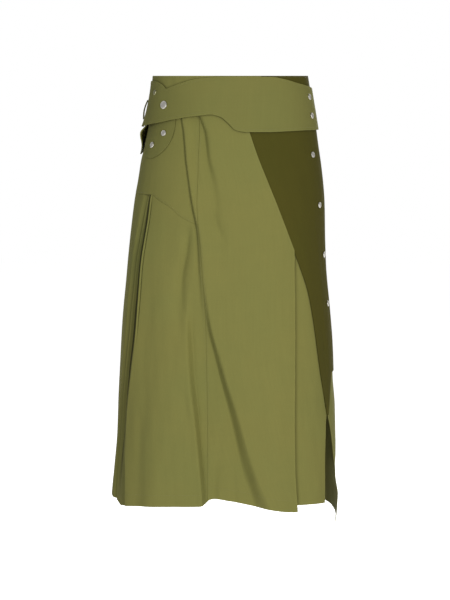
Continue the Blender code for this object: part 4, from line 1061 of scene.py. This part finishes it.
def side_loop(finish):
    on_belt = belt_level(BELT_FRONT)
    seat = BELT_WALL / 2 + LOOP_SEAT

    def lift(bearing, drop):
        share = (drop - LOOP_TOP) / (LOOP_BOTTOM - LOOP_TOP)
        return on_belt(bearing, drop) + seat + LOOP_BULGE * np.sin(math.pi * share)
    guides = [Guide(constant(bearing), constant(0), 0, 1.5) for bearing in LOOP_BEARINGS]
    rows = own_rows(constant(LOOP_TOP), constant(LOOP_BOTTOM), 60)
    return cloth("side_loop", guides, rows, LOOP_WALL, finish, lift, folded=False, rim=LOOP_RIM)


ALLOWANCE = 9.0               # half-width of the pressed-open seam allowances
ALLOWANCE_WALL = 0.5
ALLOWANCE_RIM = 0.15
ALLOWANCE_LEVEL = -1.05


def allowances(finish):
    """Pressed-open seam allowances on the inside."""
    level = constant(ALLOWANCE_LEVEL)
    body = body_rows("waist", "hem")
    nets = [(name, [beside(line, -ALLOWANCE), line, beside(line, ALLOWANCE)], body) for name, line in
            (("centre", centre_seam), ("back", constant(180)), ("side_right", constant(SIDE_RIGHT)))]
    along_yoke = own_rows(lambda bearing: yoke_line(bearing) - ALLOWANCE,
                          lambda bearing: yoke_line(bearing) + ALLOWANCE, 2 * ALLOWANCE)
    nets += [(name, [constant(first), constant(last)], along_yoke) for name, first, last in
             (("yoke_left", -59.0, -24.5), ("yoke_back", -179.5, -125.0))]
    for name, lines, rows in nets:
        guides = [Guide(line, level) for line in lines]
        yield cloth("allowance_" + name, guides, rows, ALLOWANCE_WALL, finish, rim=ALLOWANCE_RIM)


# ================================================================== faces that carry thread and snaps
def face(level, wall, folded=True):
    """A cloth's outer face: its points, its outward normals."""
    depth = level if callable(level) else lambda bearing, drop: level

    def at(bearing, drop):
        def middle(b, d):
            return surface(b, d, depth(b, d), folded)
        down = middle(bearing, drop + 1.0) - middle(bearing, drop - 1.0)
        around = middle(bearing + 0.3, drop) - middle(bearing - 0.3, drop)
        normal = np.cross(down, around)
        normal /= np.linalg.norm(normal, axis=-1, keepdims=True)
        return middle(bearing, drop) + normal * wall / 2, normal
    return at


# ================================================================== snaps
CAP_STEPS = 8
DOME = 0.80                   # share of a cap's radius that its low dome takes


def cap_profile(rolled):
    """Half a cap's profile from its middle out, in shares of its radius and height."""
    dome = [k / CAP_STEPS * DOME for k in range(CAP_STEPS + 1)]
    profile = [(share, 0.90 - 0.10 * share ** 2) for share in dome]
    if rolled:
        profile += [(0.825, 0.78), (0.85, 0.80)]
        turns = [math.radians(150 - 200 * k / CAP_STEPS) for k in range(CAP_STEPS + 1)]
        profile += [(0.925 + 0.075 * math.cos(angle), 0.58 + 0.30 * math.sin(angle)) for angle in turns]
    else:
        turns = [math.radians(90 - 90 * k / CAP_STEPS) for k in range(1, CAP_STEPS + 1)]
        profile += [(DOME + (1 - DOME) * math.cos(angle), 0.836 * math.sin(angle)) for angle in turns]
    return profile + [(0.95, 0.0), (0.0, 0.0)]


def snap(row, finish):
    """A pressed cap with a rolled rim, turned about the cloth's outward normal."""
    on = {"belt": face(belt_level(BELT_FRONT), BELT_WALL, False), "tab": face(TAB_LEVEL, TAB_WALL),
          "placket": face(PLACKET_LAP, WALL)}[row.on]
    place, normal = on(np.array([float(row.bearing)]), np.array([float(row.drop)]))
    place, normal = Vector(place[0] * MM), Vector(normal[0])
    profile = [(across * row.diameter / 2, up * row.height) for across, up in
               cap_profile("covered" not in row.name)]
    mesh = bpy.data.meshes.new("visible_" + row.name)
    mesh.from_pydata([(x * MM, 0, z * MM) for x, z in profile],
                     [(k, k + 1) for k in range(len(profile) - 1)], [])
    piece = bpy.data.objects.new("cap_" + row.name, mesh)
    bpy.context.scene.collection.objects.link(piece)
    screw = piece.modifiers.new("turned", "SCREW")
    screw.steps = SNAP_SIDES
    screw.render_steps = SNAP_SIDES
    screw.use_merge_vertices = True
    screw.merge_threshold = 0.00001
    screw.use_smooth_shade = True
    piece.location = place + normal * (SNAP_SEAT * MM)
    piece.rotation_mode = "QUATERNION"
    piece.rotation_quaternion = normal.to_track_quat("Z", "Y")
    mesh.materials.append(finish)
    return piece


# ================================================================== sewing thread
STITCH = 2.9                  # from stitch to stitch
STITCH_LENGTH = 2.35
THREAD = 0.42                 # thickness of the thread
THREAD_SIDES = 5
THREAD_PROUD = 0.12           # share of its thickness that its middle stands off the cloth
STITCH_REACH = 0.8            # a stitch points along this much of its line each way
# How far the lines of stitches lie from the edges and seams they follow.
BELT_TOP_STITCH = 4.0
BELT_LOW_STITCH = 4.5
TAB_STITCH = 3.5
SEAM_STITCH = 3.0
CENTRE_STITCH = 2.6
EDGE_STITCH = 3.2
HEM_STITCH = 20.0
BAND_STITCHES = (3.0, 35.5)   # drops on the waistband


def stitch_shape():
    """One stitch along X: points, and faces of 3 or 4 corners."""
    rings = [(-0.5, 0.0), (-0.38, 0.8), (0.38, 0.8), (0.5, 0.0)]
    points = [(-0.5 * STITCH_LENGTH, 0.0, -0.35 * THREAD)]
    for x, size in rings[1:3]:
        for k in range(THREAD_SIDES):
            angle = 2 * math.pi * k / THREAD_SIDES
            points.append((x * STITCH_LENGTH, size * THREAD / 2 * math.cos(angle),
                           size * THREAD / 2 * math.sin(angle)))
    points.append((0.5 * STITCH_LENGTH, 0.0, -0.35 * THREAD))
    faces = []
    for k in range(THREAD_SIDES):
        after = (k + 1) % THREAD_SIDES
        faces.append((0, 1 + after, 1 + k))
        faces.append((1 + k, 1 + after, 1 + THREAD_SIDES + after, 1 + THREAD_SIDES + k))
        faces.append((1 + THREAD_SIDES + k, 1 + THREAD_SIDES + after, 1 + 2 * THREAD_SIDES))
    return np.array(points), faces


def sew(name, lines, finish):
    """Stitches along lines on cloth faces, as one joined mesh."""
    shape, shape_faces = stitch_shape()
    everything, faces = [], []
    for on, bearings, drops in lines:
        points, normals = on(np.asarray(bearings, float), np.asarray(drops, float))
        run = np.concatenate([[0], np.cumsum(np.linalg.norm(np.diff(points, axis=0), axis=-1))])
        count = int(run[-1] / STITCH)
        middles = (np.arange(count) + 0.5) * run[-1] / count

        def read(places, values):
            return np.stack([np.interp(places, run, values[:, k]) for k in range(3)], -1)
        along = read(middles + STITCH_REACH, points) - read(middles - STITCH_REACH, points)
        along /= np.linalg.norm(along, axis=-1, keepdims=True)
        side = np.cross(read(middles, normals), along)
        side /= np.linalg.norm(side, axis=-1, keepdims=True)
        normal = np.cross(along, side)
        centre = read(middles, points) + normal * THREAD * THREAD_PROUD
        stitches = (centre[:, None] + along[:, None] * shape[None, :, :1]
                    + side[:, None] * shape[None, :, 1:2] + normal[:, None] * shape[None, :, 2:])
        first = sum(len(block) for block in everything)
        everything.append(stitches.reshape(-1, 3))
        for k in range(count):
            start = first + k * len(shape)
            faces += [tuple(start + corner for corner in corners) for corners in shape_faces]
    mesh = bpy.data.meshes.new(name)
    mesh.from_pydata((np.concatenate(everything) * MM).tolist(), [], faces)
    mesh.shade_smooth()
    mesh.materials.append(finish)
    piece = bpy.data.objects.new(name, mesh)
    bpy.context.scene.collection.objects.link(piece)
    return piece


def down_line(line, first, last, on, aside=0.0):
    """A stitch line beside a line that runs down the body."""
    drops = np.arange(first, last, 2.0)
    return on, line(drops) + np.degrees(aside / radius(line(drops), drops)), drops


def round_line(line, first, last, on, below=0.0):
    """A stitch line above or below a line that runs round the body."""
    bearings = np.arange(first, last, 0.6)
    return on, bearings, line(bearings) + below


# ================================================================== studio
CAMERA_PLACE = (-0.009434, -5.0, 0.0)
CAMERA_TILT = 4.549           # degrees down
CAMERA_LENS = 169.07          # mm, on a film 36 mm high and 27 mm wide
FLOOR = -1.25
FLOOR_REACH = 14.0
PAPER = (0.88, 0.88, 0.87)
PAPER_GLOW = 0.74             # keeps the floor evenly pale
AMBIENT = 0.29                # the room's light on the cloth
BACKGROUND = 1.0              # and the room's brightness where it shows past the floor


def paper():
    made, tree, shader, place = nodes_of("studio_paper")
    paint(tree, shader, PAPER, scaled(tree, noise(tree, place, 1.3, 2.0), 0.02, 0.99))
    settle(shader, {"Roughness": 0.9, "Specular IOR Level": 0.1, "Emission Color": (1, 1, 1, 1),
                    "Emission Strength": PAPER_GLOW})
    return made


def studio():
    """A pale floor that runs out into the room's white on every side."""
    corners = [(-1, -1), (1, -1), (1, 1), (-1, 1)]
    mesh = bpy.data.meshes.new("studio_floor")
    mesh.from_pydata([(x * FLOOR_REACH, y * FLOOR_REACH, FLOOR) for x, y in corners], [], [(0, 1, 2, 3)])
    mesh.materials.append(paper())
    floor = bpy.data.objects.new("studio_floor", mesh)
    bpy.context.scene.collection.objects.link(floor)
    floor.visible_diffuse = False


def softbox(name, place, aim, size, power, colour=(1, 1, 1)):
    light = bpy.data.lights.new(name, "AREA")
    light.energy = power
    light.color = colour
    light.shape = "RECTANGLE"
    light.size, light.size_y = size
    lamp = bpy.data.objects.new(name, light)
    lamp.location = place
    lamp.rotation_euler = (Vector(aim) - Vector(place)).to_track_quat("-Z", "Y").to_euler()
    bpy.context.scene.collection.objects.link(lamp)


def light_and_camera():
    scene = bpy.context.scene
    scene.view_settings.view_transform = "Standard"
    world = bpy.data.worlds.new("studio")
    world.use_nodes = True
    tree = world.node_tree
    background = tree.nodes["Background"]
    background.inputs["Color"].default_value = (1, 1, 1, 1)
    seen = node(tree, "ShaderNodeLightPath").outputs["Is Camera Ray"]
    tree.links.new(between_values(tree, seen, 0.0, 1.0, AMBIENT, BACKGROUND), background.inputs["Strength"])
    scene.world = world
    middle = (0, 0, -0.4)
    softbox("key", (1.25, -3.5, 0.0), middle, (0.9, 1.8), 80, (1.0, 0.99, 0.97))
    softbox("fill", (-1.6, -3.3, 0.6), middle, (1.3, 1.8), 27, (0.93, 1.0, 1.06))
    softbox("floor_light", (0, 2.9, 2.3), (0, 2.9, FLOOR), (2.4, 1.2), 60)
    softbox("back", (0.9, 3.4, 0.6), middle, (1.3, 1.8), 50)

    camera = bpy.data.cameras.new("camera")
    camera.sensor_fit = "VERTICAL"
    camera.sensor_height, camera.sensor_width = 36, 27
    camera.lens = CAMERA_LENS
    camera.clip_end = 60
    placed = bpy.data.objects.new("camera", camera)
    placed.location = CAMERA_PLACE
    placed.rotation_euler = (math.radians(90 - CAMERA_TILT), 0, 0)
    scene.collection.objects.link(placed)
    scene.camera = placed


# ================================================================== assembly
LIGHT_OLIVE = (0.213, 0.204, 0.057)
BELT_OLIVE = (0.192, 0.186, 0.052)
DARK_OLIVE = (0.073, 0.065, 0.0085)
COVERED_CAP = (0.35, 0.34, 0.20)
LIGHT_THREAD = (0.235, 0.225, 0.075)
DARK_THREAD = (0.085, 0.076, 0.022)
NICKEL = (0.78, 0.75, 0.68)


def dress(piece, slot, nodes=()):
    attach(piece, "root")
    if nodes:
        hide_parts(*nodes)


def stitching(light, dark):
    """Topstitching along belt, bands, seams, pleats and hems."""
    shell, band, tab = face(pleat_lift, WALL), face(0.0, BAND_WALL), face(TAB_LEVEL, TAB_WALL)
    for name, table, first, last in (("front", BELT_FRONT, -95.5, 102), ("back", BELT_BACK, -255, -88)):
        on = face(belt_level(table), BELT_WALL, False)
        yield "stitching_belt_" + name, "belt_cloth", light, [
            round_line(curve(table, "bottom", "bearing"), first, last, on, -BELT_LOW_STITCH),
            round_line(curve(table, "top", "bearing"), first, last, on, BELT_TOP_STITCH)]
    tab_edge = curve(TAB_EDGE, "drop", "bearing")
    yield "stitching_hip_tab", "belt_cloth", light, [round_line(tab_edge, -84.5, -51.5, tab, -TAB_STITCH)]
    for name, finish, first, last in (("light", light, -229, 29), ("dark", dark, 31, 129)):
        yield "stitching_waistband_" + name, name + "_cloth", finish, [
            round_line(constant(drop), first, last, band) for drop in BAND_STITCHES]
    yield "stitching_yoke", "light_cloth", light, [
        round_line(yoke_line, first, last, shell, -SEAM_STITCH) for first, last in
        ((-178, -62), (-58, -23.5))]
    yield "stitching_centre", "light_cloth", light, [
        down_line(centre_seam, 70, 735, shell, aside) for aside in (CENTRE_STITCH, -CENTRE_STITCH)]
    yield "stitching_dark_edge", "light_cloth", light, [down_line(dark_edge, 60, 300, shell, -EDGE_STITCH)]
    yield "stitching_placket", "dark_cloth", dark, [
        down_line(placket, 45, 585, face(PLACKET_LAP, WALL), -EDGE_STITCH)]
    yield "stitching_back", "light_cloth", light, [
        down_line(constant(180), 42, 745, shell, -SEAM_STITCH),
        down_line(constant(SIDE_RIGHT), 400, 750, shell, SEAM_STITCH)]
    yield "stitching_hem", "light_cloth", light, [
        round_line(hem_line, first, last, shell, -HEM_STITCH) for first, last in
        ((-57, -12), (-10, 40.5), (132, 179), (-178, -124))]
    yield "stitching_side_hem", "light_cloth", light, [
        round_line(curve(SIDE_HEM, "drop", "bearing"), 95, 128, shell, -HEM_STITCH)]


def main():
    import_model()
    light_and_camera()
    studio()
    light = twill_cloth("light_twill", LIGHT_OLIVE)
    dark = twill_cloth("dark_twill", DARK_OLIVE, 0.86, 0.10)
    belt = twill_cloth("belt_twill", BELT_OLIVE, 0.80)
    light_thread = thread_finish("light_thread", LIGHT_THREAD)
    dark_thread = thread_finish("dark_thread", DARK_THREAD)
    nickel = satin_nickel("satin_nickel", NICKEL)
    covered = satin_nickel("covered_cap", COVERED_CAP)

    slots = {light.name: "light_cloth", dark.name: "dark_cloth", belt.name: "belt_cloth"}
    pieces = [*waistbands(light, dark), *yokes(light), *left_pleats(light), front_centre(light),
              underlay(light), *dark_panels(dark), side_right(light), back_right(light), *belts(belt),
              hip_tab(belt), side_loop(belt)]
    for piece in pieces:
        node_name = piece.name.removeprefix("cloth_")
        dress(piece, slots[piece.data.materials[0].name], [node_name])
        across, down, area = SIZES[node_name]
        across = max(across, NARROWEST)
    for piece in allowances(light):
        dress(piece, slots[piece.data.materials[0].name])
        across, down, area = SIZES[piece.name.removeprefix("cloth_")]
    for row in SNAPS:
        is_covered = row.name == "snap_belt_covered"
        piece = snap(row, covered if is_covered else nickel)
        dress(piece, "snap_cover" if is_covered else "snap_steel", [row.name])
    for name, slot, finish, lines in stitching(light_thread, dark_thread):
        dress(sew(name, lines, finish), slot)

    bpy.context.view_layer.update()


main()
